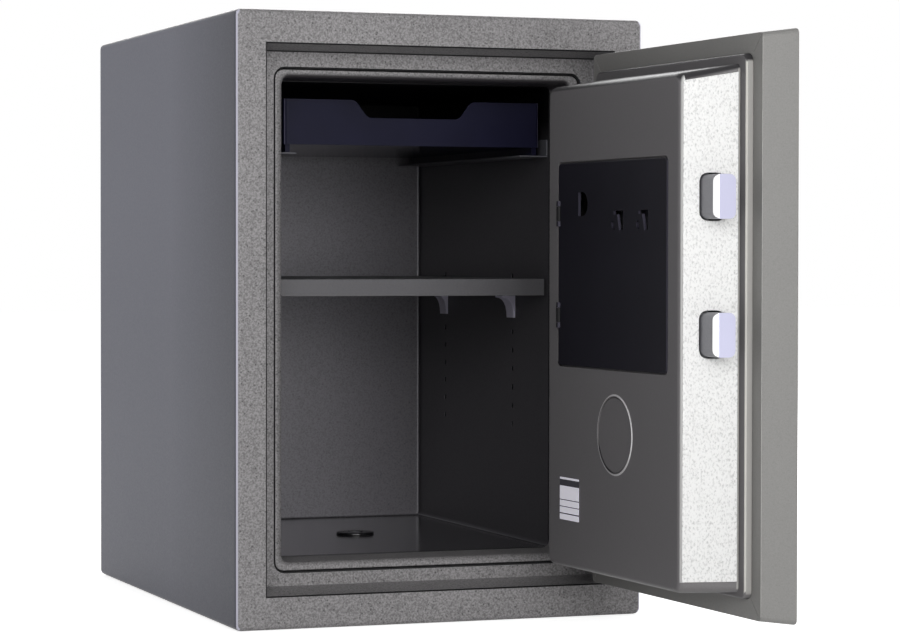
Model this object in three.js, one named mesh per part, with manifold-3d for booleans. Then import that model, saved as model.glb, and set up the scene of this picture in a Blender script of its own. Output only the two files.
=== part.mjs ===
// Fire-resistant cabinet safe: an insulated steel cabinet with an adjustable shelf on four clips, a
// pull-out tray on two runners and a hinged door with a keypad lock, shown with the door open.
// Millimetres, +Z up. The origin is the middle of the underside and the front faces -Y.
// The door's pieces are drawn where they lie when it is shut, inside a group that turns them open.

import * as THREE from 'three';
import { mergeVertices } from 'three/addons/utils/BufferGeometryUtils.js';
import Module from 'manifold-3d';

const wasm = await Module();
wasm.setup();

// Driving sizes
const cabinetWidth = 355;
const cabinetDepth = 454;
const cabinetHeight = 500;
const sideWall = 51; // from the cabinet's sides to its cavity
const endWall = 52; // from its roof and its floor
const backWall = 43;
const cavityDrop = 1; // how far its middle lies below the cabinet's
const doorOpenDegrees = 92;

// Shared thicknesses and clearances
const steelSheet = 2;
const thinSheet = 1.5;
const gap = 0.3; // between pieces that rest on each other
const overrun = 5; // how far a cut runs past what it cuts

// Facets
const cornerSteps = 4;
const edgeSteps = 3;
const roundSides = 32;
const quarterTurn = Math.PI / 2;

// Shell
const shellEdge = 4;
const shellCorner = 5;
const shellInnerCorner = 3;
const borderSide = 26;
const borderEnd = 27.2;
const rebateDepth = 33;
const rebateDraft = 4.4;
const rebateCorner = 1;
const backLip = 12;

// Throat frame, the bead round the opening
const throatMargin = 0.5; // its opening stands this far outside the cavity
const throatWall = 7.3;
const throatSink = 3; // its face lies this far behind the rebate's floor
const throatLength = 46;
const throatCorner = 8;
const throatInnerCorner = 6;
const beadRound = 5;
const beadEdge = 1.5;
const throatGroove = 1.2;
const gasketWidth = 7;
const gasketThickness = 5.7;

// Liner and its shelf holes
const linerCorner = 4;
const linerFlange = 5.5;
const linerBackRound = 2.5;
const holeFrontInset = 85;
const holeRearInset = 72.5;
const holeWidth = 4;
const holeHeight = 5;
const holeCorner = 1.2;
const holeFirst = 101.5; // the lowest hole's height above the cavity floor
const holePitch = 16.4;
const holeCount = 9;
const channelMargin = 3;
const channelDepth = 5.5;

// Anchor point in the floor
const anchorDepth = 245; // behind the front of the cabinet
const anchorShift = 5.5; // to the right of its middle
const anchorWasherRadius = 17;
const anchorWasherThickness = 2.2;
const anchorWasherChamfer = 0.8;
const anchorPlugRadius = 6.5;
const anchorPlugLength = 10;
const anchorPlugSink = 0.4;
const anchorBoreRadius = 8;
const anchorSleeveRadius = 10;

// Shelf and its clips
const shelfHoleIndex = 6;
const shelfSideGap = 1.5;
const shelfFrontInset = 6;
const shelfRearGap = 9;
const shelfLip = 14.3;
const shelfSheet = 1.2;
const shelfHem = 8;
const clipWidth = 17;
const clipReach = 12.7;
const clipHeight = 20.5;
const clipPlate = 2;
const clipLip = 2.6;
const clipPinRise = 3.9; // above the clip's foot
const clipPinRadius = 1.8;
const clipPinLength = 5;

// Tray and its runners
const traySideGap = 11.5;
const trayRearGap = 16;
const trayHeight = 38;
const trayWall = 2.5;
const trayCorner = 4;
const trayShift = 4.2;
const trayFrontInset = 4;
const trayHeadroom = 14;
const trayRibHeight = 6.5;
const trayRibWidth = 4;
const trayRibInset = 2;
const notchTopWidth = 104;
const notchFootWidth = 82;
const notchDepth = 15;
const notchEase = 3.5;
const runnerSheet = 1.2;
const runnerFlange = 26;
const runnerUpstand = 15;
const runnerFrontInset = 2;
const runnerRearGap = 11;

// Door hinges
const hingeInset = 16.9; // pin axis in from the cabinet's right side
const hingeStandoff = 10; // pin axis in front of the cabinet's face
const hingeEndDistance = 100;
const knuckleHeight = 28;
const knuckleRadius = 7.5;
const knuckleWeb = 5;
const hingeBoreRadius = 4.5;
const hingePinRadius = 4.1;
const hingeHeadRadius = 6.5;
const hingeHeadHeight = 3.5;
const hingeHeadChamfer = 1.5;
const hingeWasher = 0.8;
const leafThickness = 2.5;
const leafOverlap = 7; // how far both leaves reach past the pin axis towards each other
const cabinetLeafWidth = 22;
const doorLeafWidth = 33;

// Door slab, step and plug
const doorGap = 1.5;
const slabSeatGap = 4; // in front of the rebate's floor
const slabDraft = 3.7;
const slabCorner = 4;
const slabEdge = 1.5;
const stepSideMargin = 2.9; // inside the throat frame's outline
const stepEndMargin = 3.1;
const stepSeatGap = 1.5; // in front of the throat frame's face
const stepCorner = 7;
const stepRound = 2;
const plugGapLock = 5.5; // inside the throat frame's opening
const plugGapHinge = 2;
const plugGapTop = 1.9;
const plugGapFoot = 1;
const plugShortfall = 2; // its face stops this far short of the cavity
const plugDraftLock = 8.5; // how far each wall draws in on its way to the face
const plugDraftHinge = 1.5;
const plugDraftTop = 7.6;
const plugDraftFoot = 0.3;
const plugCorner = 8;
const plugRootCorner = 4.5;
const plugRound = 4;
const mitreWidth = 0.6;
const mitreDepth = 0.5;
const panFlange = 10;
const embossRadius = 31;
const embossHeight = 0.6;
const embossRim = 1.2;
const embossGroove = 0.9;
const embossGrooveDepth = 0.8;
const embossSides = 56;
const embossDrop = 132; // below the lock's centre
const embossShift = 7.9; // its middle from the plug's, towards the lock
const tagWidth = 35.5;
const tagHeight = 34;
const tagThickness = 0.5;
const tagHingeInset = 25.5;
const tagRise = 38.4;

// Bolts and the face plate that they come through
const lockDrop = 204.6; // the lock's centre below the roof
const boltPitch = 102.2;
const boltHeight = 33.2;
const boltThickness = 17.5;
const boltSet = 15.5; // below the plug's inner face
const boltThrow = 12.5; // past the throat frame's opening
const boltLength = 31.7;
const boltCorner = 5;
const boltChamfer = 3.4; // along the side that faces the cavity
const boltPlay = 1.2;
const boltStroke = 23;
const facePlateThickness = 1.2;
const facePlateFrontInset = 1.5;
const facePlateBackInset = 2;
const facePlateTopInset = 5.9;
const facePlateFootInset = 8.5;
const keeperWidth = 9;
const keeperSideMargin = 3;
const keeperEndMargin = 9;
const keeperPlay = 1.5;

// Lock works
const spindleSet = 76; // behind the thrown bolts' tips
const spindleRadius = 5;
const spindleHole = 7;
const crankRadius = boltStroke; // a swing of a sixth of a turn moves the pin this far
const crankSwingDegrees = 60;
const crankHubRadius = 9;
const crankArmWidth = 9;
const crankThickness = 3;
const crankPinRadius = 2.5;
const crankPlay = 0.5;
const crankPinProud = 1.5;
const barThickness = 5;
const barWidth = 14;
const barTabMargin = 4.5;
const barTabHeight = 15;
const crankTabMargin = 7;
const guideOffset = 10.9; // beyond the bolts' middles
const guideRadius = 3;
const guideHeadRadius = 5;
const guideHeadThickness = 2;
const guidePlay = 0.5;
const lockPlateStandoff = 7.3;
const lockPlateLockMargin = 19;
const lockPlateEndMargin = 14; // beyond the guide posts
const lockPlateHolderGap = 15;
const lockPlateLap = 6;
const pocketFloor = 40; // depth of the lock pocket's floor behind the front of the door
const pocketMargin = 6;
const solenoidWidth = 26;
const solenoidHubGap = 6.1; // below the crank's hub
const solenoidPlay = 3;
const solenoidRise = 4.6;
const plungerRadius = 2.2;
const plungerPlay = 0.4;
const plungerRest = 1; // above the notch that it drops into
const plungerLength = 19.5;
const plungerBoreSpare = 2;
const notchPlay = 1.1;
const plungerNotchDepth = 4.5;

// Battery and control board behind the inner cover
const batteryLength = 48.5;
const batteryHeight = 26.5;
const batteryThickness = 17.5;
const batteryCorner = 3;
const terminalRadius = 4;
const terminalHeight = 1.2;
const batteryPlay = 0.75;
const holderWall = 2;
const boardWidth = 60;
const boardHeight = 60;
const boardGap = 5; // above the battery holder
const boardThickness = 1.6;
const chipSize = 16;
const chipHeight = 3;
const relaySize = 20;
const relayHeight = 9;
const worksSideInset = 7; // from the window's hinge edge

// Inner cover
const coverFreeInset = 20.3; // its free edge in from the plug's lock side
const coverThickness = 2.2;
const coverCorner = 4;
const coverEdge = 0.7;
const coverHingeInset = 22.2; // hinge axis in from the plug's hinge side
const coverTail = 2;
const coverRecess = 2.2; // depth of the pressing that it lies in
const coverPlay = 1.2; // between its edges and the pressing's wall
const windowMargin = 11;
const coverHingePitch = 81.5;
const coverNotch = 12;
const coverKnuckleRadius = 2.3;
const coverKnuckleLength = 4.2;
const coverPinRadius = 0.9;
const coverBoreRadius = 1.25;
const coverPinReach = 3;
const coverPinEnd = 0.7;
const coverLeafReach = 7;
const coverLeafThickness = 1.5;
const coverSlotPlay = 1;
const fingerSlotWidth = 17.5;
const fingerSlotHeight = 19;
const fingerSlotInset = 36.5; // from the hinge axis
const fingerSlotRise = 48; // above the lock's centre
const hookSlotWidth = 21;
const hookSlotHeight = 15;
const hookSlotNeck = 16.5; // its width at the top
const hookSlotRound = 6;
const hookSlotRise = 34.5;
const hookSlotInsets = [42.5, 86.5]; // from the free edge
const hookTongueWidth = 8;
const hookTongueInset = 6; // from its slot's straight side
const hookTongueHeight = 12;
const hookTongueLean = 2.2;

// Keypad, rose and lever on the outside of the door
const keypadShift = 7.5; // its middle from the door's, towards the hinges
const keypadRise = 94.6; // its middle above the lock's centre
const keypadWidth = 110;
const keypadHeight = 120;
const keypadDepth = 22;
const keypadCorner = 10;
const keypadRound = 4;
const keypadWall = 3;
const keypadFloor = 10;
const buttonColumns = 3;
const buttonRows = 4;
const buttonPitchAcross = 26;
const buttonPitchUp = 22;
const buttonWidth = 18;
const buttonHeight = 13;
const buttonLength = 7.5;
const buttonProud = 2.5;
const buttonCorner = 3;
const buttonRound = 1;
const buttonPlay = 0.4;
const buttonTravel = 1.5;
const buttonSpare = 0.5;
const buttonDrop = 8;
const roseRadius = 26;
const roseThickness = 5;
const roseStep = 3;
const leverHubRadius = 13;
const leverStandoff = 39;
const leverThickness = 12;
const leverWidth = 13;
const leverLength = 95;
const leverCorner = 4;
const leverBore = 10; // metal left between the spindle's end and the lever's face

// Surface finishes
const finishes = {
  hammeredGrey: { color: 0x7b7b7f, roughness: 0.5, metalness: 0.35 },
  backGrey: { color: 0x6c6c70, roughness: 0.6, metalness: 0.3 },
  linerGrey: { color: 0x4b4b4f, roughness: 0.6, metalness: 0.3 },
  doorGrey: { color: 0x5a5a5d, roughness: 0.5, metalness: 0.35 },
  paleHammered: { color: 0xd8d8de, roughness: 0.35, metalness: 0.6 },
  boltSteel: { color: 0xc9c6d6, roughness: 0.25, metalness: 0.9 },
  brightSteel: { color: 0xb8b8bc, roughness: 0.3, metalness: 0.9 },
  galvanised: { color: 0x9a9ca0, roughness: 0.45, metalness: 0.8 },
  insulation: { color: 0xb9b2a4, roughness: 0.95, metalness: 0 },
  gasketBlack: { color: 0x111113, roughness: 0.9, metalness: 0 },
  coverBlack: { color: 0x1a1a1e, roughness: 0.55, metalness: 0.1 },
  trayBlue: { color: 0x1f1f2e, roughness: 0.45, metalness: 0 },
  clipViolet: { color: 0xb4aec4, roughness: 0.4, metalness: 0 },
  keypadBlack: { color: 0x161618, roughness: 0.5, metalness: 0 },
  buttonGrey: { color: 0x8d8d92, roughness: 0.55, metalness: 0 },
  boardGreen: { color: 0x1f5a34, roughness: 0.5, metalness: 0.1 },
  batteryBrown: { color: 0x3a3330, roughness: 0.4, metalness: 0.3 },
  tagWhite: { color: 0xd9d9d4, roughness: 0.8, metalness: 0 },
};

// Ranges: a pair of low and high limits along one direction
const centred = (middle, size) => [middle - size / 2, middle + size / 2];
const grow = ([low, high], amount) => [low - amount, high + amount];
const span = (one, other) => [Math.min(one, other), Math.max(one, other)];
const middleOf = ([low, high]) => (low + high) / 2;
const mix = (from, to, share) => from + (to - from) * share;

// Where a point drawn across, up and along goes for each axis
const places = {
  x: (across, up, along) => [along, across, up],
  y: (across, up, along) => [across, along, up],
  z: (across, up, along) => [across, up, along],
};

// Solids

function signedVolume(positions, triangles) {
  const [a, b, c] = [new THREE.Vector3(), new THREE.Vector3(), new THREE.Vector3()];
  return triangles.reduce((sum, [first, second, third]) => {
    a.fromArray(positions, first * 3);
    b.fromArray(positions, second * 3);
    c.fromArray(positions, third * 3);
    return sum + a.dot(b.cross(c)) / 6;
  }, 0);
}

function solid(geometry) {
  geometry.deleteAttribute('normal');
  geometry.deleteAttribute('uv');
  const merged = mergeVertices(geometry);
  const positions = merged.attributes.position.array;
  const index = merged.index.array;
  const triangles = [];
  for (let corner = 0; corner < index.length; corner += 3) {
    const [a, b, c] = index.slice(corner, corner + 3);
    if (a !== b && b !== c && c !== a) triangles.push([a, b, c]);
  }
  if (signedVolume(positions, triangles) < 0) triangles.forEach((triangle) => triangle.reverse());
  return new wasm.Manifold(new wasm.Mesh({
    numProp: 3,
    vertProperties: new Float32Array(positions),
    triVerts: new Uint32Array(triangles.flat()),
  }));
}

const join = (first, ...others) => others.reduce((sum, next) => sum.add(next), first);
const cut = (first, ...others) => others.reduce((rest, next) => rest.subtract(next), first);

function box(across, depth, up) {
  const [width, length, height] = [across, depth, up].map(([low, high]) => high - low);
  const geometry = new THREE.BoxGeometry(width, length, height);
  return solid(geometry.translate(middleOf(across), middleOf(depth), middleOf(up)));
}

// One face of a stacked block: a rectangle with rounded corners at a place along the axis
const face = (at, across, up, corner = 0) => ({ at, across, up, corner });

function ringPoints({ across: [left, right], up: [low, high], corner }, steps) {
  const radius = Math.max(corner, 0);
  const centres = [
    [right - radius, high - radius],
    [left + radius, high - radius],
    [left + radius, low + radius],
    [right - radius, low + radius],
  ];
  return centres.flatMap(([across, up], quarter) => {
    const points = [];
    for (let step = 0; step <= steps; step += 1) {
      const angle = (quarter + step / steps) * quarterTurn;
      points.push([across + radius * Math.cos(angle), up + radius * Math.sin(angle)]);
    }
    return points;
  });
}

// A closed skin over faces that follow each other along an axis
function stack(axis, faces, steps = cornerSteps) {
  const count = 4 * (steps + 1);
  const positions = faces.flatMap((layer) => ringPoints(layer, steps)
    .flatMap(([across, up]) => places[axis](across, up, layer.at)));
  const index = [];
  for (let layer = 0; layer + 1 < faces.length; layer += 1) {
    for (let side = 0; side < count; side += 1) {
      const here = layer * count + side;
      const next = layer * count + ((side + 1) % count);
      index.push(here, next, next + count, here, next + count, here + count);
    }
  }
  const last = (faces.length - 1) * count;
  for (let side = 1; side + 1 < count; side += 1) {
    index.push(0, side + 1, side, last, last + side, last + side + 1);
  }
  const geometry = new THREE.BufferGeometry();
  geometry.setAttribute('position', new THREE.Float32BufferAttribute(positions, 3));
  geometry.setIndex(index);
  return solid(geometry);
}

// A block between two faces. A round eases an end's edge, a negative one flares it, and a lead runs
// the first face on before it.
function block(axis, start, end, options = {}) {
  const { startRound = 0, endRound = 0, lead = 0, rounds = edgeSteps, steps = cornerSteps } = options;
  const length = end.at - start.at;
  const layer = (along, inset) => {
    const share = along / length;
    return {
      at: start.at + along,
      across: grow(start.across.map((limit, side) => mix(limit, end.across[side], share)), -inset),
      up: grow(start.up.map((limit, side) => mix(limit, end.up[side], share)), -inset),
      corner: mix(start.corner, end.corner, share) - inset,
    };
  };
  const easing = (round) => {
    const eased = [];
    for (let step = 0; step <= rounds; step += 1) {
      const angle = (step / rounds) * quarterTurn;
      eased.push([Math.abs(round) * (1 - Math.cos(angle)), round * (1 - Math.sin(angle))]);
    }
    return round ? eased : [[0, 0]];
  };
  const layers = [
    ...easing(startRound).map(([along, inset]) => layer(along, inset)),
    ...easing(endRound).reverse().map(([along, inset]) => layer(length - along, inset)),
  ];
  const first = { ...layers[0], at: layers[0].at - lead };
  return stack(axis, [first, ...layers], steps);
}

// An outline drawn across and up, carried along an axis
function prism(axis, outline, [from, to], curveSegments = cornerSteps) {
  const geometry = new THREE.ExtrudeGeometry(outline, {
    depth: to - from,
    bevelEnabled: false,
    curveSegments,
  });
  const turn = new THREE.Matrix4();
  if (axis === 'x') turn.set(0, 0, 1, from, 1, 0, 0, 0, 0, 1, 0, 0, 0, 0, 0, 1);
  if (axis === 'y') turn.set(1, 0, 0, 0, 0, 0, -1, to, 0, 1, 0, 0, 0, 0, 0, 1);
  if (axis === 'z') turn.makeTranslation(0, 0, from);
  return solid(geometry.applyMatrix4(turn));
}

function outlineOf(points) {
  return new THREE.Shape(points.map(([across, up]) => new THREE.Vector2(across, up)));
}

function rod(axis, across, up, radius, along, sides = roundSides) {
  const disc = new THREE.Shape();
  disc.absarc(across, up, radius, 0, 4 * quarterTurn, false);
  return prism(axis, disc, along, sides / 2);
}

// A turned piece on an upright axis, from its closed outline of radii and heights
function turned(across, depth, profile, sides = roundSides) {
  const geometry = new THREE.LatheGeometry(
    profile.map(([radius, height]) => new THREE.Vector2(radius, height)),
    sides,
  );
  return solid(geometry.rotateX(quarterTurn).translate(across, depth, 0));
}

function addPiece(parent, name, body, finish) {
  const { vertProperties, triVerts } = body.getMesh();
  const geometry = new THREE.BufferGeometry();
  geometry.setAttribute('position', new THREE.BufferAttribute(vertProperties, 3));
  geometry.setIndex(new THREE.BufferAttribute(triVerts, 1));
  const material = new THREE.MeshStandardMaterial({ ...finishes[finish], flatShading: true });
  const mesh = new THREE.Mesh(geometry, material);
  mesh.name = name;
  parent.add(mesh);
}

// Places that several pieces share, in the cabinet
const front = -cabinetDepth / 2;
const back = cabinetDepth / 2;
const cabinetAcross = centred(0, cabinetWidth);
const cabinetUp = [0, cabinetHeight];
const openingAcross = grow(cabinetAcross, -borderSide);
const openingUp = grow(cabinetUp, -borderEnd);
const rebateFloor = front + rebateDepth;
const cavityWidth = cabinetWidth - 2 * sideWall;
const cavityHeight = cabinetHeight - 2 * endWall;
const cavityAcross = centred(0, cavityWidth);
const cavityUp = centred(cabinetHeight / 2 - cavityDrop, cavityHeight);
const throatFace = rebateFloor + throatSink;
const throatBack = throatFace + throatLength;
const throatAcross = grow(cavityAcross, throatMargin);
const throatUp = grow(cavityUp, throatMargin);
const cavityBack = back - backWall;
const linerFront = throatBack + gap;
const [cavityFloor, cavityRoof] = cavityUp;
const anchorPlace = front + anchorDepth;
const holeDepths = [throatBack + holeFrontInset, cavityBack - holeRearInset];
const holeLevel = (index) => cavityFloor + holeFirst + index * holePitch;

// Places that several pieces share, in the shut door
const doorAcross = grow(openingAcross, -doorGap);
const doorUp = grow(openingUp, -doorGap);
const lockEdge = doorAcross[0];
const hingeX = cabinetAcross[1] - hingeInset;
const hingeY = front - hingeStandoff;
const slabBack = rebateFloor - slabSeatGap;
const stepTop = throatFace - stepSeatGap;
const stepAcross = grow(throatAcross, throatWall - stepSideMargin);
const stepUp = grow(throatUp, throatWall - stepEndMargin).map((limit) => limit + cavityDrop);
const plugFace = throatBack - plugShortfall;
const plugAcross = [throatAcross[0] + plugGapLock, throatAcross[1] - plugGapHinge];
const plugUp = [throatUp[0] + plugGapFoot, throatUp[1] - plugGapTop];
const plugFaceAcross = [plugAcross[0] + plugDraftLock, plugAcross[1] - plugDraftHinge];
const plugFaceUp = [plugUp[0] + plugDraftFoot, plugUp[1] - plugDraftTop];
const panFront = slabBack - steelSheet - gap - steelSheet;
const panInside = plugFace - steelSheet;
const recessFloor = plugFace - coverRecess;
const recessInside = recessFloor - steelSheet;

// Places in the lock
const boltDepth = [plugFace - boltSet - boltThickness, plugFace - boltSet];
const lockHeight = cabinetHeight - lockDrop;
const boltLevels = centred(lockHeight, boltPitch);
const boltTip = throatAcross[0] - boltThrow;
const barLeft = boltTip + boltLength + gap;
const barRight = barLeft + barWidth;
const barDepth = centred(middleOf(boltDepth), barThickness);
const guideLevels = grow(boltLevels, guideOffset);
const guideX = barRight + barTabMargin + boltStroke + guideRadius + guidePlay;
const spindleX = boltTip + spindleSet;
const lockPlateBack = recessInside - lockPlateStandoff;
const lockPlateDepth = [lockPlateBack - steelSheet, lockPlateBack];
const lockPlateUp = grow(guideLevels, lockPlateEndMargin);
const plungerX = barRight + boltStroke + solenoidPlay + solenoidWidth / 2;
const lowerTabTop = guideLevels[0] + barTabHeight / 2 + guideHeadRadius + gap;
const coverHingeX = plugFaceAcross[1] - coverHingeInset;
const coverAcross = [plugFaceAcross[0] + coverFreeInset, coverHingeX + coverTail];
const coverDepth = [recessFloor + gap, recessFloor + gap + coverThickness];
const windowAcross = grow(coverAcross, -windowMargin);
const windowUp = grow(lockPlateUp, -lockPlateLap);
const coverUp = grow(windowUp, windowMargin);
const coverHingeLevels = centred(lockHeight, coverHingePitch);
const coverAxisY = coverDepth[0] + coverKnuckleRadius;
const coverSlotAcross = [
  coverHingeX - coverKnuckleRadius - coverSlotPlay,
  coverAcross[1] + coverPlay + coverSlotPlay,
];

// Bodies that more than one piece is cut to

function boltBlock(level, growth, from, to) {
  const outline = [grow(boltDepth, growth), grow(centred(level, boltHeight), growth), boltCorner + growth];
  return block('x', face(from, ...outline), face(to, ...outline));
}

function rebateBlock(growth, from, to) {
  const mouth = [grow(openingAcross, growth), grow(openingUp, growth), rebateCorner + growth];
  const floor = [
    grow(openingAcross, growth - rebateDraft),
    grow(openingUp, growth - rebateDraft),
    rebateCorner + growth,
  ];
  return stack('y', [face(from, ...mouth), face(front, ...mouth), face(rebateFloor, ...floor),
    face(to, ...floor)]);
}

function throatBlock(growth, from, to) {
  const outline = [
    grow(throatAcross, throatWall + growth),
    grow(throatUp, throatWall + growth),
    throatCorner + growth,
  ];
  return block('y', face(from, ...outline), face(to, ...outline));
}

function cavityBlock(growth, from, to, endRound = 0) {
  const outline = [grow(cavityAcross, growth), grow(cavityUp, growth), linerCorner + growth];
  return block('y', face(from, ...outline), face(to, ...outline), { endRound });
}

function keeperBlock(growth) {
  const throatSide = throatAcross[0] - throatWall;
  const up = grow([boltLevels[0], boltLevels[1]], boltHeight / 2 + keeperEndMargin + growth);
  const depth = grow(boltDepth, keeperSideMargin + growth);
  return box([throatSide - gap - keeperWidth - growth, throatSide - gap + growth], depth, up);
}

// The slab at a depth behind its face: its sides draw in by the draft
function slabFace(at, growth) {
  const draft = (slabDraft * (at - front)) / (slabBack - front);
  return face(at, grow(doorAcross, growth - draft), grow(doorUp, growth - draft), slabCorner + growth);
}

function stepBlock(growth, from, to, endRound) {
  const outline = [grow(stepAcross, growth), grow(stepUp, growth), stepCorner + growth];
  return block('y', face(from, ...outline), face(to, ...outline), { endRound });
}

function plugBlock(growth, from, to) {
  return block(
    'y',
    face(stepTop, grow(plugAcross, growth), grow(plugUp, growth), plugRootCorner + growth),
    face(to, grow(plugFaceAcross, growth), grow(plugFaceUp, growth), plugCorner + growth),
    { endRound: plugRound + growth, lead: stepTop - from },
  );
}

// The pressing in the plug's face that the inner cover lies in
function recessBlock(growth, from, to) {
  const margin = coverPlay + growth;
  const outline = [grow(coverAcross, margin), grow(coverUp, margin), coverCorner + margin];
  return block('y', face(from, ...outline), face(to, ...outline));
}

// Cabinet

function outerShell() {
  const skin = block(
    'y',
    face(front, cabinetAcross, cabinetUp, shellCorner),
    face(back, cabinetAcross, cabinetUp, shellCorner),
    { startRound: shellEdge },
  );
  const insideAcross = grow(cabinetAcross, -steelSheet);
  const insideUp = grow(cabinetUp, -steelSheet);
  const inside = block(
    'y',
    face(front + steelSheet, insideAcross, insideUp, shellInnerCorner),
    face(back + overrun, insideAcross, insideUp, shellInnerCorner),
  );
  const rebateSkin = rebateBlock(steelSheet, front, rebateFloor + steelSheet);
  const throatHole = throatBlock(throatGroove, front, rebateFloor + steelSheet + overrun);
  const anchorHole = rod('z', anchorShift, anchorPlace, anchorBoreRadius, [-overrun, steelSheet + overrun]);
  return cut(
    skin,
    cut(inside, rebateSkin),
    rebateBlock(0, front - overrun, rebateFloor),
    throatHole,
    anchorHole,
  );
}

function backPanel() {
  const across = grow(cabinetAcross, -steelSheet - gap);
  const up = grow(cabinetUp, -steelSheet - gap);
  const insideAcross = grow(across, -steelSheet);
  const insideUp = grow(up, -steelSheet);
  return cut(
    block('y', face(back - backLip, across, up, shellInnerCorner), face(back, across, up, shellInnerCorner)),
    box(insideAcross, [back - backLip - overrun, back - steelSheet], insideUp),
  );
}

function cabinetInsulation() {
  const start = front + steelSheet + gap;
  const outer = [-steelSheet - gap, -2 * (steelSheet + gap)].map((inset, layer) => {
    const outline = [grow(cabinetAcross, inset), grow(cabinetUp, inset), shellInnerCorner];
    const end = layer ? back - steelSheet - gap : back - backLip - gap;
    return block('y', face(start, ...outline), face(end, ...outline));
  });
  const gasketEnd = rebateFloor + steelSheet + gap + gasketThickness;
  const channels = holeDepths.flatMap((depth) => [-1, 1].map((side) => {
    const wall = side * (cavityWidth / 2 + thinSheet - gap);
    const ends = grow([holeLevel(0), holeLevel(holeCount - 1)], holeHeight / 2 + channelMargin);
    const width = holeWidth + 2 * channelMargin;
    return box(span(wall, wall + side * channelDepth), centred(depth, width), ends);
  }));
  return cut(
    join(...outer),
    rebateBlock(steelSheet + gap, front, rebateFloor + steelSheet + gap),
    throatBlock(2 * gap + gasketWidth, rebateFloor, gasketEnd + gap),
    throatBlock(gap, rebateFloor, linerFront + thinSheet + gap),
    cavityBlock(thinSheet + gap, linerFront, cavityBack + thinSheet + gap),
    ...channels,
    keeperBlock(gap),
    rod('z', anchorShift, anchorPlace, anchorSleeveRadius + gap, [0, cavityFloor]),
  );
}

function throatGasket() {
  const start = rebateFloor + steelSheet + gap;
  const end = start + gasketThickness;
  return cut(
    throatBlock(gap + gasketWidth, start, end),
    throatBlock(gap, start - overrun, end + overrun),
  );
}

function throatFrame() {
  const outside = [grow(throatAcross, throatWall), grow(throatUp, throatWall), throatCorner];
  const opening = [throatAcross, throatUp, throatInnerCorner];
  const slots = boltLevels.map((level) => {
    const from = throatAcross[0] - throatWall - overrun;
    return boltBlock(level, keeperPlay, from, throatAcross[0] + overrun);
  });
  return cut(
    block('y', face(throatFace, ...outside), face(throatBack, ...outside), { startRound: beadEdge }),
    block('y', face(throatFace, ...opening), face(throatBack + overrun, ...opening), {
      startRound: -beadRound,
      lead: overrun,
    }),
    ...slots,
  );
}

function innerLiner() {
  const flange = thinSheet + linerFlange;
  const holes = holeDepths.flatMap((depth) => [-1, 1].flatMap((side) => {
    const wall = span(side * (cavityWidth / 2 - overrun), side * (cavityWidth / 2 + overrun));
    return Array.from({ length: holeCount }, (_, index) => {
      const outline = [centred(depth, holeWidth), centred(holeLevel(index), holeHeight), holeCorner];
      return block('x', face(wall[0], ...outline), face(wall[1], ...outline), { steps: 1 });
    });
  }));
  return cut(
    join(
      cavityBlock(thinSheet, linerFront, cavityBack + thinSheet),
      cavityBlock(flange, linerFront, linerFront + thinSheet),
    ),
    cavityBlock(0, linerFront - overrun, cavityBack, linerBackRound),
    ...holes,
    rod('z', anchorShift, anchorPlace, anchorBoreRadius, centred(cavityFloor, 2 * overrun)),
  );
}

function boltKeeper() {
  const outside = keeperBlock(0);
  const inside = keeperBlock(-thinSheet);
  const throatSide = throatAcross[0] - throatWall;
  const up = grow([boltLevels[0], boltLevels[1]], boltHeight / 2 + keeperEndMargin - thinSheet);
  const depth = grow(boltDepth, keeperSideMargin - thinSheet);
  const mouth = box([throatSide - keeperWidth / 2, throatSide + overrun], depth, up);
  return cut(outside, inside, mouth);
}

function anchorSleeve() {
  const ends = [steelSheet + gap, cavityFloor - thinSheet - gap];
  return cut(
    rod('z', anchorShift, anchorPlace, anchorSleeveRadius, ends),
    rod('z', anchorShift, anchorPlace, anchorBoreRadius, grow(ends, overrun)),
  );
}

function anchorWasher() {
  const foot = cavityFloor + gap;
  const top = foot + anchorWasherThickness;
  const bore = anchorPlugRadius + gap;
  return turned(anchorShift, anchorPlace, [
    [bore, foot],
    [anchorWasherRadius, foot],
    [anchorWasherRadius, top - anchorWasherChamfer],
    [anchorWasherRadius - anchorWasherChamfer, top],
    [bore, top],
    [bore, foot],
  ]);
}

function anchorPlug() {
  const top = cavityFloor + gap + anchorWasherThickness - anchorPlugSink;
  return turned(anchorShift, anchorPlace, [
    [0, top - anchorPlugLength],
    [anchorPlugRadius, top - anchorPlugLength],
    [anchorPlugRadius, top - anchorWasherChamfer],
    [anchorPlugRadius - anchorWasherChamfer, top],
    [0, top],
  ]);
}

// Shelf and clips

const clipTop = holeLevel(shelfHoleIndex) - clipPinRise + clipHeight;

function shelf() {
  const across = grow(cavityAcross, -shelfSideGap);
  const depth = [throatBack + shelfFrontInset, cavityBack - shelfRearGap];
  const foot = clipTop + gap;
  const up = [foot, foot + shelfLip];
  const inside = [foot - overrun, foot + shelfLip - shelfSheet];
  const hem = [depth[0], depth[0] + shelfHem];
  return join(
    cut(box(across, depth, up), box(grow(across, -shelfSheet), grow(depth, -shelfSheet), inside)),
    box(across, hem, [foot, foot + shelfSheet]),
  );
}

function shelfClip(side, depth) {
  const wall = side * (cavityWidth / 2 - gap);
  const level = holeLevel(shelfHoleIndex);
  const foot = level - clipPinRise;
  const inner = wall - side * clipPlate;
  const tip = wall - side * clipReach;
  const outline = new THREE.Shape();
  outline.moveTo(wall, foot);
  outline.lineTo(wall, clipTop);
  outline.lineTo(tip, clipTop);
  outline.lineTo(tip, clipTop - clipLip);
  outline.quadraticCurveTo(inner, clipTop - clipLip, inner, foot);
  const pin = span(inner, wall + side * clipPinLength);
  return join(
    prism('y', outline, centred(depth, clipWidth), edgeSteps * 2),
    rod('x', depth, level, clipPinRadius, pin, roundSides / 2),
  );
}

// Tray and runners

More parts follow.
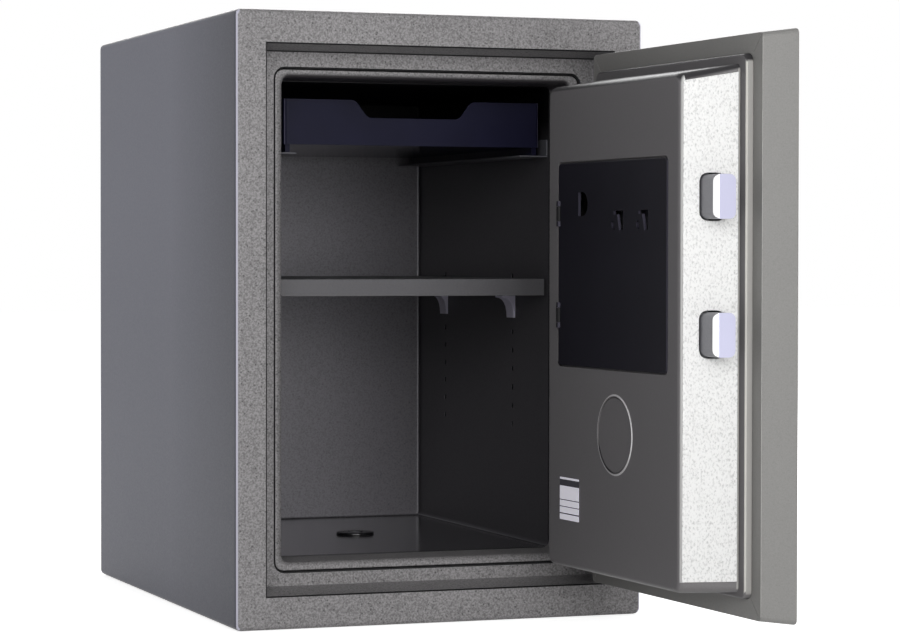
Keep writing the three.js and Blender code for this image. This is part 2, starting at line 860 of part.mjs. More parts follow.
const trayUp = [cavityRoof - trayHeadroom - trayHeight, cavityRoof - trayHeadroom];
const trayDepth = [throatBack + trayFrontInset, cavityBack - trayRearGap];
const trayAcross = centred(trayShift, cavityWidth - 2 * traySideGap);

function tray() {
  const [foot, rim] = trayUp;
  const insideAcross = grow(trayAcross, -trayWall);
  const insideDepth = grow(trayDepth, -trayWall);
  const insideCorner = trayCorner - trayWall;
  const [topLeft, topRight] = centred(trayShift, notchTopWidth);
  const [footLeft, footRight] = centred(trayShift, notchFootWidth);
  const notchFoot = rim - notchDepth;
  const shoulder = notchEase * (topRight - footRight) / notchDepth;
  const notch = new THREE.Shape();
  notch.moveTo(footLeft + notchEase, notchFoot);
  notch.lineTo(footRight - notchEase, notchFoot);
  notch.quadraticCurveTo(footRight, notchFoot, footRight + shoulder, notchFoot + notchEase);
  notch.lineTo(topRight - shoulder, rim - notchEase);
  notch.quadraticCurveTo(topRight, rim, topRight + notchEase, rim);
  notch.lineTo(topRight + notchEase, rim + overrun);
  notch.lineTo(topLeft - notchEase, rim + overrun);
  notch.lineTo(topLeft - notchEase, rim);
  notch.quadraticCurveTo(topLeft, rim, topLeft + shoulder, rim - notchEase);
  notch.lineTo(footLeft - shoulder, notchFoot + notchEase);
  notch.quadraticCurveTo(footLeft, notchFoot, footLeft + notchEase, notchFoot);
  const ribs = [trayAcross[0] + trayRibInset, trayAcross[1] - trayRibInset - trayRibWidth].map((left) => (
    box([left, left + trayRibWidth], insideDepth, [foot - trayRibHeight, foot + trayWall])
  ));
  return join(
    cut(
      block('z', face(foot, trayAcross, trayDepth, trayCorner), face(rim, trayAcross, trayDepth, trayCorner)),
      block(
        'z',
        face(foot + trayWall, insideAcross, insideDepth, insideCorner),
        face(rim + overrun, insideAcross, insideDepth, insideCorner),
      ),
      prism('y', notch, [trayDepth[0] - overrun, trayDepth[0] + overrun]),
    ),
    ...ribs,
  );
}

function trayRunner(side) {
  const wall = side * (cavityWidth / 2 - gap);
  const top = trayUp[0] - trayRibHeight - gap;
  const foot = top - runnerSheet;
  const depth = [throatBack + runnerFrontInset, cavityBack - runnerRearGap];
  return join(
    box(span(wall, wall - side * runnerFlange), depth, [foot, top]),
    box(span(wall, wall - side * runnerSheet), depth, [foot, foot + runnerUpstand]),
  );
}

// Door hinges

const hingeLevels = grow(cabinetUp, -hingeEndDistance);
const lowerKnuckleUp = (level) => {
  const top = level - hingeWasher / 2 - gap;
  return [top - knuckleHeight, top];
};
const upperKnuckleUp = (level) => {
  const foot = level + hingeWasher / 2 + gap;
  return [foot, foot + knuckleHeight];
};

// A barrel on the pin axis with a web down to a leaf that lies on the steel behind it
function knuckle(up, leafAcross, webAcross) {
  const leafFace = front - gap;
  return cut(
    join(
      rod('z', hingeX, hingeY, knuckleRadius, up),
      box(webAcross, [hingeY, leafFace], up),
      box(leafAcross, [leafFace - leafThickness, leafFace], up),
    ),
    rod('z', hingeX, hingeY, hingeBoreRadius, grow(up, overrun)),
  );
}

function cabinetKnuckle(level) {
  const leafLeft = hingeX - leafOverlap;
  const leaf = [leafLeft, leafLeft + cabinetLeafWidth];
  return knuckle(lowerKnuckleUp(level), leaf, centred(hingeX, 2 * knuckleWeb));
}

function doorKnuckle(level) {
  const leafRight = hingeX - leafOverlap;
  const leaf = [leafRight - doorLeafWidth, leafRight];
  return knuckle(upperKnuckleUp(level), leaf, [leafRight - knuckleWeb, hingeX]);
}

function hingePin(level) {
  const foot = lowerKnuckleUp(level)[0];
  const seat = upperKnuckleUp(level)[1] + gap;
  const top = seat + hingeHeadHeight;
  return turned(hingeX, hingeY, [
    [0, foot],
    [hingePinRadius, foot],
    [hingePinRadius, seat],
    [hingeHeadRadius, seat],
    [hingeHeadRadius, top - hingeHeadChamfer],
    [hingeHeadRadius - hingeHeadChamfer, top],
    [0, top],
  ]);
}

function hingeWasherRing(level) {
  const up = centred(level, hingeWasher);
  return cut(
    rod('z', hingeX, hingeY, knuckleRadius, up),
    rod('z', hingeX, hingeY, hingeBoreRadius, grow(up, overrun)),
  );
}

// Door casing

// A seam across the slab's back from one of its corners to the step's corner
function mitreSeam(side, end) {
  const { across, up } = slabFace(slabBack, 0);
  const outer = new THREE.Vector2(across[side], up[end]);
  const inner = new THREE.Vector2(stepAcross[side], stepUp[end]);
  const off = new THREE.Vector2(outer.y - inner.y, inner.x - outer.x).setLength(mitreWidth / 2);
  const near = [outer, inner].map((corner) => corner.clone().add(off));
  const far = [inner, outer].map((corner) => corner.clone().sub(off));
  return prism('y', new THREE.Shape([...near, ...far]), [slabBack - mitreDepth, slabBack + overrun]);
}

function doorOuterPan() {
  const outside = block('y', slabFace(front, 0), slabFace(slabBack, 0), { startRound: slabEdge });
  const inside = block(
    'y',
    slabFace(front + steelSheet, -steelSheet),
    slabFace(slabBack - steelSheet, -steelSheet),
  );
  const mouth = stepBlock(gap, front + steelSheet + overrun, slabBack + overrun, 0);
  const spindleWay = rod('y', spindleX, lockHeight, spindleHole, grow([front, front + steelSheet], overrun));
  const seams = [0, 1].flatMap((side) => [0, 1].map((end) => mitreSeam(side, end)));
  return cut(outside, inside, mouth, spindleWay, ...seams);
}

function doorInnerPan() {
  const flange = block(
    'y',
    face(panFront, grow(stepAcross, panFlange), grow(stepUp, panFlange), slabCorner),
    face(panFront + steelSheet, grow(stepAcross, panFlange), grow(stepUp, panFlange), slabCorner),
  );
  const disc = (inset, from, to) => {
    const across = middleOf(plugFaceAcross) - embossShift;
    return rod('y', across, lockHeight - embossDrop, embossRadius - inset, [from, to], embossSides);
  };
  const grooveFloor = plugFace - embossGrooveDepth;
  const grooveInset = embossRim + embossGroove;
  const outside = plugFace + overrun;
  const hingeSlots = coverHingeLevels.map((level) => (
    box(coverSlotAcross, [recessInside - overrun, plugFace + overrun], centred(level, coverNotch))
  ));
  return cut(
    join(
      stepBlock(0, panFront, stepTop, stepRound),
      plugBlock(0, panFront, plugFace),
      flange,
      cut(disc(0, panInside + gap, plugFace + embossHeight), disc(embossRim, plugFace, outside)),
    ),
    stepBlock(-steelSheet, panFront - overrun, stepTop - steelSheet, 0),
    cut(
      plugBlock(-steelSheet, panFront - overrun, panInside),
      recessBlock(steelSheet, recessInside, plugFace),
    ),
    recessBlock(0, recessFloor, outside),
    cut(disc(embossRim, grooveFloor, outside), disc(grooveInset, panInside, plugFace)),
    box(windowAcross, [recessInside - overrun, plugFace], windowUp),
    ...hingeSlots,
    ...boltLevels.map((level) => boltBlock(level, boltPlay, lockEdge, barLeft)),
  );
}

function doorInsulation() {
  const inset = -steelSheet - gap;
  const slab = block('y', slabFace(front - inset, inset), slabFace(panFront - gap, inset));
  const step = stepBlock(inset, panFront - gap - overrun, stepTop + inset, 0);
  const plug = plugBlock(inset, panFront - gap - overrun, plugFace + inset);
  const pocket = box(
    [lockEdge, coverAcross[1] + pocketMargin],
    [front + pocketFloor, plugFace],
    grow(windowUp, pocketMargin + steelSheet),
  );
  const recess = recessBlock(-inset, recessInside - gap, plugFace);
  const spindleWay = rod('y', spindleX, lockHeight, spindleHole, [front, plugFace]);
  return cut(join(slab, step, plug), pocket, recess, spindleWay);
}

function boltFacePlate() {
  const slope = plugDraftLock / (plugFace - stepTop);
  const length = Math.hypot(slope, 1);
  const off = (distance, at) => [
    plugAcross[0] + slope * (at - stepTop) - distance / length,
    at + (distance * slope) / length,
  ];
  const start = stepTop + facePlateFrontInset;
  const end = plugFace - facePlateBackInset;
  const outside = gap + facePlateThickness;
  const outline = outlineOf([off(outside, start), off(gap, start), off(gap, end), off(outside, end)]);
  const ends = [start, end].map((at) => {
    const share = (at - stepTop) / (plugFace - stepTop);
    const foot = mix(plugUp[0], plugFaceUp[0], share) + facePlateFootInset;
    const top = mix(plugUp[1], plugFaceUp[1], share) - facePlateTopInset;
    return face(at, [lockEdge, barLeft], [foot, top]);
  });
  return cut(
    prism('z', outline, plugUp).intersect(block('y', ...ends)),
    ...boltLevels.map((level) => boltBlock(level, boltPlay, lockEdge, barLeft)),
  );
}

function blankTag() {
  const right = plugFaceAcross[1] - tagHingeInset;
  const foot = plugFaceUp[0] + tagRise;
  const depth = [plugFace + gap, plugFace + gap + tagThickness];
  return box([right - tagWidth, right], depth, [foot, foot + tagHeight]);
}

// Lock works

function bolt(level) {
  const inner = boltDepth[1];
  const chamfer = outlineOf([
    [boltTip - overrun, inner - boltChamfer - overrun],
    [boltTip + boltChamfer + overrun, inner + overrun],
    [boltTip - overrun, inner + overrun],
  ]);
  const body = boltBlock(level, 0, boltTip, boltTip + boltLength);
  return cut(body, prism('z', chamfer, centred(level, boltHeight + 2 * overrun)));
}

const crankAngle = THREE.MathUtils.degToRad(crankSwingDegrees / 2);
const crankPinX = spindleX - crankRadius * Math.sin(crankAngle);
const crankPinZ = lockHeight + crankRadius * Math.cos(crankAngle);

function boltBar() {
  const reach = boltHeight / 2;
  const through = grow(barDepth, overrun);
  const strip = box([barLeft, barRight], barDepth, [boltLevels[0] - reach, boltLevels[1] + reach]);
  const slotPlay = guideRadius + guidePlay;
  const tabEnd = guideX + slotPlay + barTabMargin;
  const lowerTabEnd = plungerX + plungerRadius + notchPlay + barTabMargin;
  const tabHalf = barTabHeight / 2;
  const tabs = [
    box([barLeft, tabEnd], barDepth, centred(guideLevels[1], barTabHeight)),
    box([barLeft, lowerTabEnd], barDepth, [guideLevels[0] - tabHalf, lowerTabTop]),
  ];
  const guideSlots = guideLevels.map((level) => (
    box([guideX - slotPlay - boltStroke, guideX + slotPlay], through, centred(level, 2 * slotPlay))
  ));
  const pinPlay = crankPinRadius + crankPlay;
  const crankSlotAcross = centred(crankPinX, 2 * pinPlay);
  const crankSlotUp = [crankPinZ - pinPlay, lockHeight + crankRadius + pinPlay];
  const crankTabAcross = [barLeft, crankSlotAcross[1] + crankTabMargin];
  const crankTab = box(crankTabAcross, barDepth, grow(crankSlotUp, crankTabMargin));
  const notchHalf = plungerRadius + notchPlay;
  const notchUp = [lowerTabTop - plungerNotchDepth, lowerTabTop + overrun];
  const notches = [plungerX, plungerX - boltStroke].map((across) => (
    box(centred(across, 2 * notchHalf), through, notchUp)
  ));
  return cut(
    join(strip, ...tabs, crankTab),
    ...guideSlots,
    box(crankSlotAcross, through, crankSlotUp),
    ...notches,
  );
}

const leverFace = front - leverStandoff;
const leverFoot = front - gap - roseThickness - gap;

function lockSpindle() {
  const crankStart = barDepth[1] + crankPlay;
  const crankDepth = [crankStart, crankStart + crankThickness];
  const along = new THREE.Vector2(crankPinX - spindleX, crankPinZ - lockHeight);
  const side = new THREE.Vector2(along.y, -along.x).setLength(crankArmWidth / 2);
  const arm = outlineOf([
    [spindleX + side.x, lockHeight + side.y],
    [crankPinX + side.x, crankPinZ + side.y],
    [crankPinX - side.x, crankPinZ - side.y],
    [spindleX - side.x, lockHeight - side.y],
  ]);
  return join(
    rod('y', spindleX, lockHeight, spindleRadius, [leverFace + leverBore + gap, lockPlateDepth[1]]),
    rod('y', spindleX, lockHeight, crankHubRadius, crankDepth),
    prism('y', arm, crankDepth),
    rod('y', crankPinX, crankPinZ, crankArmWidth / 2, crankDepth, roundSides / 2),
    rod('y', crankPinX, crankPinZ, crankPinRadius, [barDepth[0] - crankPinProud, crankDepth[1]]),
  );
}

function lockPlate() {
  const across = [spindleX - lockPlateLockMargin, holderAcross[0] - lockPlateHolderGap];
  const up = lockPlateUp;
  const seat = recessInside - gap;
  const posts = guideLevels.flatMap((level) => {
    const headBack = barDepth[0] - guidePlay;
    const headFront = headBack - guideHeadThickness;
    return [
      rod('y', guideX, level, guideRadius, [headFront, lockPlateDepth[1]], roundSides / 2),
      rod('y', guideX, level, guideHeadRadius, [headFront, headBack], roundSides / 2),
    ];
  });
  return cut(
    join(
      cut(
        box(across, [lockPlateDepth[0], seat], up),
        box(grow(across, overrun), [lockPlateDepth[1], seat + overrun], grow(up, -steelSheet)),
      ),
      ...posts,
    ),
    rod('y', spindleX, lockHeight, spindleRadius + crankPlay, grow(lockPlateDepth, overrun)),
  );
}

const solenoidFoot = lowerTabTop + solenoidRise;
const plungerFoot = lowerTabTop + plungerRest;
const plungerTop = plungerFoot + plungerLength;

function solenoidBody() {
  const across = centred(plungerX, solenoidWidth);
  const plate = lockPlateDepth[0] - gap;
  const half = plate - middleOf(barDepth);
  const depth = [middleOf(barDepth) - half, plate];
  const bore = rod('z', plungerX, middleOf(barDepth), plungerRadius + plungerPlay,
    [solenoidFoot - overrun, plungerTop + plungerBoreSpare]);
  return cut(box(across, depth, [solenoidFoot, lockHeight - crankHubRadius - solenoidHubGap]), bore);
}

function solenoidPlunger() {
  return rod('z', plungerX, middleOf(barDepth), plungerRadius, [plungerFoot, plungerTop]);
}

// Battery and control board

const worksRight = windowAcross[1] - worksSideInset;
const holderAcross = [worksRight - batteryLength - 2 * (batteryPlay + holderWall), worksRight];
const holderFoot = windowUp[0] - lockPlateLap;
const holderTop = windowUp[0] + batteryPlay * 2 + batteryHeight + holderWall;
const holderBack = recessInside - gap;
const holderDepth = [holderBack - batteryThickness - batteryPlay - holderWall, holderBack];

function batteryHolder() {
  return cut(
    box(holderAcross, holderDepth, [holderFoot, holderTop]),
    box(grow(holderAcross, -holderWall), [holderDepth[0] + holderWall, holderDepth[1] + overrun],
      [windowUp[0], holderTop - holderWall]),
  );
}

function battery() {
  const start = holderDepth[0] + holderWall + gap;
  const across = grow(holderAcross, -holderWall - batteryPlay);
  const up = [windowUp[0] + batteryPlay, windowUp[0] + batteryPlay + batteryHeight];
  const body = [across[0] + terminalHeight, across[1]];
  const outline = [[start, start + batteryThickness], up, batteryCorner];
  const terminal = [across[0], body[0] + terminalHeight];
  const terminals = centred(middleOf(up), batteryHeight / 2).map((level) => (
    rod('x', start + batteryThickness / 2, level, terminalRadius, terminal, roundSides / 2)
  ));
  return join(block('x', face(body[0], ...outline), face(body[1], ...outline)), ...terminals);
}

function controlBoard() {
  const right = windowAcross[1] + lockPlateLap;
  const across = [right - boardWidth, right];
  const foot = holderTop + boardGap;
  const up = [foot, foot + boardHeight];
  const depth = [recessInside - gap - boardThickness, recessInside - gap];
  const chip = box(centred(across[0] + boardWidth / 3, chipSize), [depth[0] - chipHeight, depth[1]],
    centred(foot + boardHeight / 2, chipSize));
  const relay = box(centred(across[1] - boardWidth / 3, relaySize), [depth[0] - relayHeight, depth[1]],
    centred(foot + boardHeight / 3, relaySize));
  return join(box(across, depth, up), chip, relay);
}

// Inner cover

function dSlot(right, level, width, height) {
  const radius = height / 2;
  const outline = new THREE.Shape();
  outline.moveTo(right, level - radius);
  outline.lineTo(right, level + radius);
  outline.lineTo(right - width + radius, level + radius);
  outline.absarc(right - width + radius, level, radius, quarterTurn, 3 * quarterTurn, false);
  return prism('y', outline, grow(coverDepth, overrun), cornerSteps);
}

// A key slot: straight towards the free edge, round at the foot and drawn in at the top
function hookSlot(middle) {
  const [low, high] = centred(middle, hookSlotWidth);
  const [foot, top] = centred(lockHeight + hookSlotRise, hookSlotHeight);
  const waist = foot + hookSlotRound;
  const outline = new THREE.Shape();
  outline.moveTo(low, foot);
  outline.lineTo(high - hookSlotRound, foot);
  outline.absarc(high - hookSlotRound, waist, hookSlotRound, 3 * quarterTurn, 4 * quarterTurn, false);
  outline.quadraticCurveTo(low + hookSlotNeck, waist, low + hookSlotNeck, top);
  outline.lineTo(low, top);
  return prism('y', outline, grow(coverDepth, overrun), cornerSteps);
}

// A tongue lanced out of the cover at the foot of its slot, to hang a key on
function hookTongue(slotMiddle) {
  const middle = slotMiddle - hookSlotWidth / 2 + hookTongueInset + hookTongueWidth / 2;
  const foot = lockHeight + hookSlotRise - hookSlotHeight / 2;
  const [inner, outer] = coverDepth;
  const top = foot + hookTongueHeight;
  const outline = outlineOf([
    [inner, foot - coverThickness],
    [outer, foot - coverThickness],
    [outer + hookTongueLean, top],
    [inner + hookTongueLean, top],
  ]);
  return prism('x', outline, centred(middle, hookTongueWidth));
}

function innerCover() {
  const outline = [coverAcross, coverUp, coverCorner];
  const plate = block('y', face(coverDepth[0], ...outline), face(coverDepth[1], ...outline), {
    endRound: coverEdge,
    rounds: 1,
  });
  const edge = coverAcross[1] + overrun;
  const bevel = outlineOf([
    [coverHingeX, coverDepth[0]],
    [coverHingeX, coverDepth[0] - overrun],
    [edge, coverDepth[0] - overrun],
    [edge, coverDepth[0] + overrun],
  ]);
  const knuckleEnds = coverHingeLevels.flatMap((level) => {
    const [low, high] = centred(level, coverNotch);
    return [[low - coverKnuckleLength, low], [high, high + coverKnuckleLength]];
  });
  const knuckles = knuckleEnds.map((up) => (
    rod('z', coverHingeX, coverAxisY, coverKnuckleRadius, up, roundSides / 2)
  ));
  const notches = coverHingeLevels.map((level) => (
    box([coverHingeX - coverKnuckleRadius - gap, edge], grow(coverDepth, overrun), centred(level, coverNotch))
  ));
  const bores = coverHingeLevels.map((level) => {
    const reach = coverNotch / 2 + coverPinReach + coverPinEnd;
    return rod('z', coverHingeX, coverAxisY, coverBoreRadius, centred(level, 2 * reach), roundSides / 2);
  });
  const fingerRight = coverHingeX - fingerSlotInset;
  const fingerSlot = dSlot(fingerRight, lockHeight + fingerSlotRise, fingerSlotWidth, fingerSlotHeight);
  const hookMiddles = hookSlotInsets.map((inset) => coverAcross[0] + inset);
  return cut(
    join(
      cut(plate, prism('z', bevel, grow(coverUp, overrun)), fingerSlot, ...hookMiddles.map(hookSlot)),
      ...knuckles,
      ...hookMiddles.map(hookTongue),
    ),
    ...notches,
    ...bores,
  );
}

// A barrel in the slot of the pressing, on a leaf that lies against the pressing from inside
function coverHinge(level) {
  const slot = centred(level, coverNotch);
  const across = centred(coverHingeX, 2 * coverKnuckleRadius);
  const leafSeat = recessInside - gap;
  const leafAcross = [across[0], coverSlotAcross[1]];
  return join(
    rod('z', coverHingeX, coverAxisY, coverKnuckleRadius, grow(slot, -gap), roundSides / 2),
    box(across, [leafSeat - coverLeafThickness, coverAxisY], grow(slot, -gap)),
    box(leafAcross, [leafSeat - coverLeafThickness, leafSeat], grow(slot, coverLeafReach)),
    rod('z', coverHingeX, coverAxisY, coverPinRadius, grow(slot, coverPinReach), roundSides / 2),
  );
}

// Keypad, rose and lever

const keypadMiddle = middleOf(doorAcross) + keypadShift;
const keypadLevel = lockHeight + keypadRise;
const keypadDepthRange = [front - gap - keypadDepth, front - gap];
const buttonDepth = [keypadDepthRange[0] - buttonProud, keypadDepthRange[0] - buttonProud + buttonLength];
const wellFloor = buttonDepth[1] + buttonTravel + buttonSpare;
const buttonPlaces = Array.from({ length: buttonRows * buttonColumns }, (_, index) => {
  const row = Math.floor(index / buttonColumns);
  const column = index % buttonColumns;
  return [
    keypadMiddle + (column - (buttonColumns - 1) / 2) * buttonPitchAcross,
    keypadLevel - buttonDrop + ((buttonRows - 1) / 2 - row) * buttonPitchUp,
  ];
});

function keypadHousing() {
  const across = centred(keypadMiddle, keypadWidth);
  const up = centred(keypadLevel, keypadHeight);
  const [start, end] = keypadDepthRange;
  const wells = buttonPlaces.map(([middle, level]) => {
    const outline = [
      grow(centred(middle, buttonWidth), buttonPlay),
      grow(centred(level, buttonHeight), buttonPlay),
      buttonCorner + buttonPlay,
    ];
    return block('y', face(start - overrun, ...outline), face(wellFloor, ...outline), { steps: 2 });
  });
  return cut(
    block('y', face(start, across, up, keypadCorner), face(end, across, up, keypadCorner), {
      startRound: keypadRound,
    }),
    box(grow(across, -keypadWall), [start + keypadFloor, end + overrun], grow(up, -keypadWall)),
    ...wells,
  );
}

function button([middle, level]) {
  const outline = [centred(middle, buttonWidth), centred(level, buttonHeight), buttonCorner];
  return block('y', face(buttonDepth[0], ...outline), face(buttonDepth[1], ...outline), {
    startRound: buttonRound,
    rounds: 2,
    steps: 2,
  });
}

function handleRose() {
  const seat = front - gap;
  const rim = roseRadius - roseStep;
  return cut(
    join(
      rod('y', spindleX, lockHeight, roseRadius, [seat - roseStep, seat]),
      rod('y', spindleX, lockHeight, rim, [seat - roseThickness, seat]),
    ),
    rod('y', spindleX, lockHeight, spindleRadius + crankPlay, grow([seat - roseThickness, seat], overrun)),
  );
}

function handleLever() {
  const armDepth = [leverFace, leverFace + leverThickness];
  const armUp = centred(lockHeight, leverWidth);
  const arm = block(
    'x',
    face(spindleX, armDepth, armUp, leverCorner),
    face(spindleX + leverLength, armDepth, armUp, leverCorner),
    { endRound: leverCorner },
  );
  return cut(
    join(rod('y', spindleX, lockHeight, leverHubRadius, [leverFace, leverFoot]), arm),
    rod('y', spindleX, lockHeight, spindleRadius + gap, [leverFace + leverBore, leverFoot + overrun]),
  );
}

// The assembly

const safe = new THREE.Group();
safe.name = 'cabinet_safe';

addPiece(safe, 'outer_shell', outerShell(), 'hammeredGrey');
addPiece(safe, 'back_panel', backPanel(), 'backGrey');
addPiece(safe, 'insulation_body', cabinetInsulation(), 'insulation');
addPiece(safe, 'throat_gasket', throatGasket(), 'gasketBlack');
addPiece(safe, 'throat_frame', throatFrame(), 'hammeredGrey');
addPiece(safe, 'inner_liner', innerLiner(), 'linerGrey');
addPiece(safe, 'bolt_keeper', boltKeeper(), 'galvanised');
addPiece(safe, 'anchor_sleeve', anchorSleeve(), 'galvanised');
addPiece(safe, 'anchor_washer', anchorWasher(), 'linerGrey');
addPiece(safe, 'anchor_plug', anchorPlug(), 'brightSteel');
addPiece(safe, 'shelf', shelf(), 'linerGrey');
addPiece(safe, 'tray', tray(), 'trayBlue');

[['left', -1], ['right', 1]].forEach(([hand, side]) => {
  addPiece(safe, `tray_runner_${hand}`, trayRunner(side), 'linerGrey');
  ['front', 'rear'].forEach((row, column) => {
    addPiece(safe, `shelf_clip_${hand}_${row}`, shelfClip(side, holeDepths[column]), 'clipViolet');
  });
});

const door = new THREE.Group();
door.name = 'door_open';
door.position.set(hingeX, hingeY, 0);
door.rotation.z = THREE.MathUtils.degToRad(doorOpenDegrees);
safe.add(door);
const shut = new THREE.Group();
shut.name = 'door_shut_frame';
shut.position.set(-hingeX, -hingeY, 0);
door.add(shut);

['lower', 'upper'].forEach((end, index) => {
  addPiece(safe, `hinge_${end}_cabinet_knuckle`, cabinetKnuckle(hingeLevels[index]), 'hammeredGrey');
  addPiece(safe, `hinge_${end}_pin`, hingePin(hingeLevels[index]), 'brightSteel');
  addPiece(safe, `hinge_${end}_washer`, hingeWasherRing(hingeLevels[index]), 'brightSteel');
  addPiece(shut, `hinge_${end}_door_knuckle`, doorKnuckle(hingeLevels[index]), 'hammeredGrey');
  addPiece(shut, `bolt_${end}`, bolt(boltLevels[index]), 'boltSteel');
  addPiece(shut, `cover_hinge_${end}`, coverHinge(coverHingeLevels[index]), 'coverBlack');
});

addPiece(shut, 'door_outer_pan', doorOuterPan(), 'hammeredGrey');
addPiece(shut, 'door_inner_pan', doorInnerPan(), 'doorGrey');
addPiece(shut, 'door_insulation', doorInsulation(), 'insulation');
addPiece(shut, 'bolt_face_plate', boltFacePlate(), 'paleHammered');
addPiece(shut, 'blank_tag', blankTag(), 'tagWhite');
addPiece(shut, 'bolt_bar', boltBar(), 'galvanised');
addPiece(shut, 'lock_spindle', lockSpindle(), 'brightSteel');
addPiece(shut, 'lock_plate', lockPlate(), 'galvanised');
addPiece(shut, 'solenoid_body', solenoidBody(), 'galvanised');
addPiece(shut, 'solenoid_plunger', solenoidPlunger(), 'brightSteel');
addPiece(shut, 'battery_holder', batteryHolder(), 'keypadBlack');
addPiece(shut, 'battery', battery(), 'batteryBrown');
addPiece(shut, 'control_board', controlBoard(), 'boardGreen');
addPiece(shut, 'inner_cover', innerCover(), 'coverBlack');
addPiece(shut, 'keypad_housing', keypadHousing(), 'keypadBlack');
addPiece(shut, 'handle_rose', handleRose(), 'brightSteel');
addPiece(shut, 'handle_lever', handleLever(), 'brightSteel');
buttonPlaces.forEach((place, index) => {
  addPiece(shut, `keypad_button_${index + 1}`, button(place), 'buttonGrey');
});

export default safe;
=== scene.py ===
"""A fire-resistant cabinet safe with its door open: finishes, fine edges, light and camera.

Metres, +Z up. The origin is the middle of the cabinet's underside and its front faces -Y.
"""

import math
from functools import reduce

import bpy
from mathutils import Matrix, Vector


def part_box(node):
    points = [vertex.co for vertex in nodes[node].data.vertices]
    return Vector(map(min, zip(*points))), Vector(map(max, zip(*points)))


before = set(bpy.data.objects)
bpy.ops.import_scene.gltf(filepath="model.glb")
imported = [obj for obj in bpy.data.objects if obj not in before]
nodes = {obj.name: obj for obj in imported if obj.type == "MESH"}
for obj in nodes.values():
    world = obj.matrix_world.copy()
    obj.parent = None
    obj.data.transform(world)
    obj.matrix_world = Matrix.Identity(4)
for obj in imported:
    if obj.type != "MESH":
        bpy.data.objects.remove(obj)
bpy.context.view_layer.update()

MM = 0.001

# Camera: its place, its turns in radians, and its focal length in pixels of a picture of that width
CAMERA_PLACE = (-0.84839, -2.52482, 0.30572)
CAMERA_YAW = 0.35577
CAMERA_PITCH = 0.02299
CAMERA_ROLL = 0.0014
FOCAL_PIXELS = 2983.04
PICTURE_PIXELS = 900
SENSOR_MILLIMETRES = 36

# Fine edges and shading of the construction's pieces
SMOOTH_ANGLE = math.radians(36)
FLAT_ANGLE = math.radians(0.5)
WELD_DISTANCE = 0.001 * MM
EDGE_SEGMENTS = 2

# How wide the eased edges are, by the finish that the construction names
EDGE_WIDTHS = {
    "hammered_grey": 0.7 * MM,
    "door_grey": 0.5 * MM,
    "liner_grey": 0.4 * MM,
    "cover_black": 0.25 * MM,
    "pale_hammered": 0.5 * MM,
    "bolt_steel": 0.5 * MM,
    "bright_steel": 0.4 * MM,
    "zinc_steel": 0.2 * MM,
    "insulation": 0.5 * MM,
    "gasket": 0.4 * MM,
    "tray_plastic": 0.8 * MM,
    "clip_plastic": 0.5 * MM,
    "black_plastic": 0.4 * MM,
    "button_grey": 0.3 * MM,
    "battery_wrap": 0.3 * MM,
    "board": 0.15 * MM,
    "tag": 0.05 * MM,
}

# How far a face's normal turns towards an axis, from 0 to 1, where a layer starts and where it is full.
# So says each TURN and TILT further down, while a SPAN tells Finish.eased where an edge ends.
BARELY = (0.1, 0.3)
LEANING = (0.2, 0.4)
HALFWAY = (0.3, 0.6)
MOSTLY = (0.5, 0.8)
SQUARELY = (0.6, 0.9)
WHOLLY = (0.85, 0.95)

# Cabinet's shell, throat and rebate, measured in from the shell's box
BORDER_SIDE = 25.1 * MM  # width of the front border at the sides
BORDER_END = 26.3 * MM  # its width at the top and bottom
MOUTH_LINE = 1.5 * MM  # depth of the painted shade line in the rebate's mouth
REBATE_BACK = 28 * MM  # where the painted shade line on the rebate's roof starts
REBATE_BACK_END = 35 * MM
CORNER_BAND = 12.5 * MM  # room for the painted highlight on the front corners
CORNER_SPAN = (0.78, 0.9)
SIDE_FADE_BACK = 200 * MM  # how far the painted shade on the sides takes to turn pale towards the back
SIDE_FADE_UP = 350 * MM  # how far they take towards the top
FOOT_SHADE_SHARE = 0.6  # how dark the painted shade on the sides is at the foot
THROAT_ROOF_TURN = (0.25, 0.6)

# Door: its round boss is placed from the free edge and the foot of the inner pan
RING_FROM_EDGE = 136.8 * MM
RING_FROM_FOOT = 126.1 * MM
RING_RADIUS = 31 * MM
RING_LINE = 0.4 * MM  # from the middle of the painted highlight to where it starts to fade
RING_LINE_END = 0.9 * MM
RING_DEPTH = 6 * MM
PLATE_BESIDE = 6 * MM  # stretch of the plug's corner beside the face plate
PLATE_OVERLAP = 2 * MM
FLANK_HIGHLIGHT_SHARE = 0.42  # how strong the painted highlight on the step's flank is against its edge
DOOR_TOP_TURN = (0.12, 0.4)
UPRIGHT_SPAN = (0.93, 0.985)
UPRIGHT_TILT = (0.05, 0.2)
BOLT_END_TURN = (0.35, 0.6)

# Cavity and tray
LINER_FLANGE = 7 * MM
LIP_DEPTH = 5 * MM
HOLE_RIM = 0.3 * MM  # how deep the shelf holes show the wall's paint before their painted shade
TRAY_SHADE = 30 * MM  # height over which the tray comes to keep the light off
DOOR_SHADOW_START = 30 * MM  # where the painted shadow of the door on the back wall starts, towards the right
DOOR_SHADOW_END = 120 * MM
DOOR_SHADOW_SHARE = 0.72  # what the back wall keeps of its lit paint in that painted shadow
LINING_DEPTH = 12 * MM  # reach of the painted black shade in the fill round the liner, seen through its holes
TRAY_CORNER_SPAN = (0.72, 0.8)
TRAY_TOP_SPAN = (0.93, 0.995)

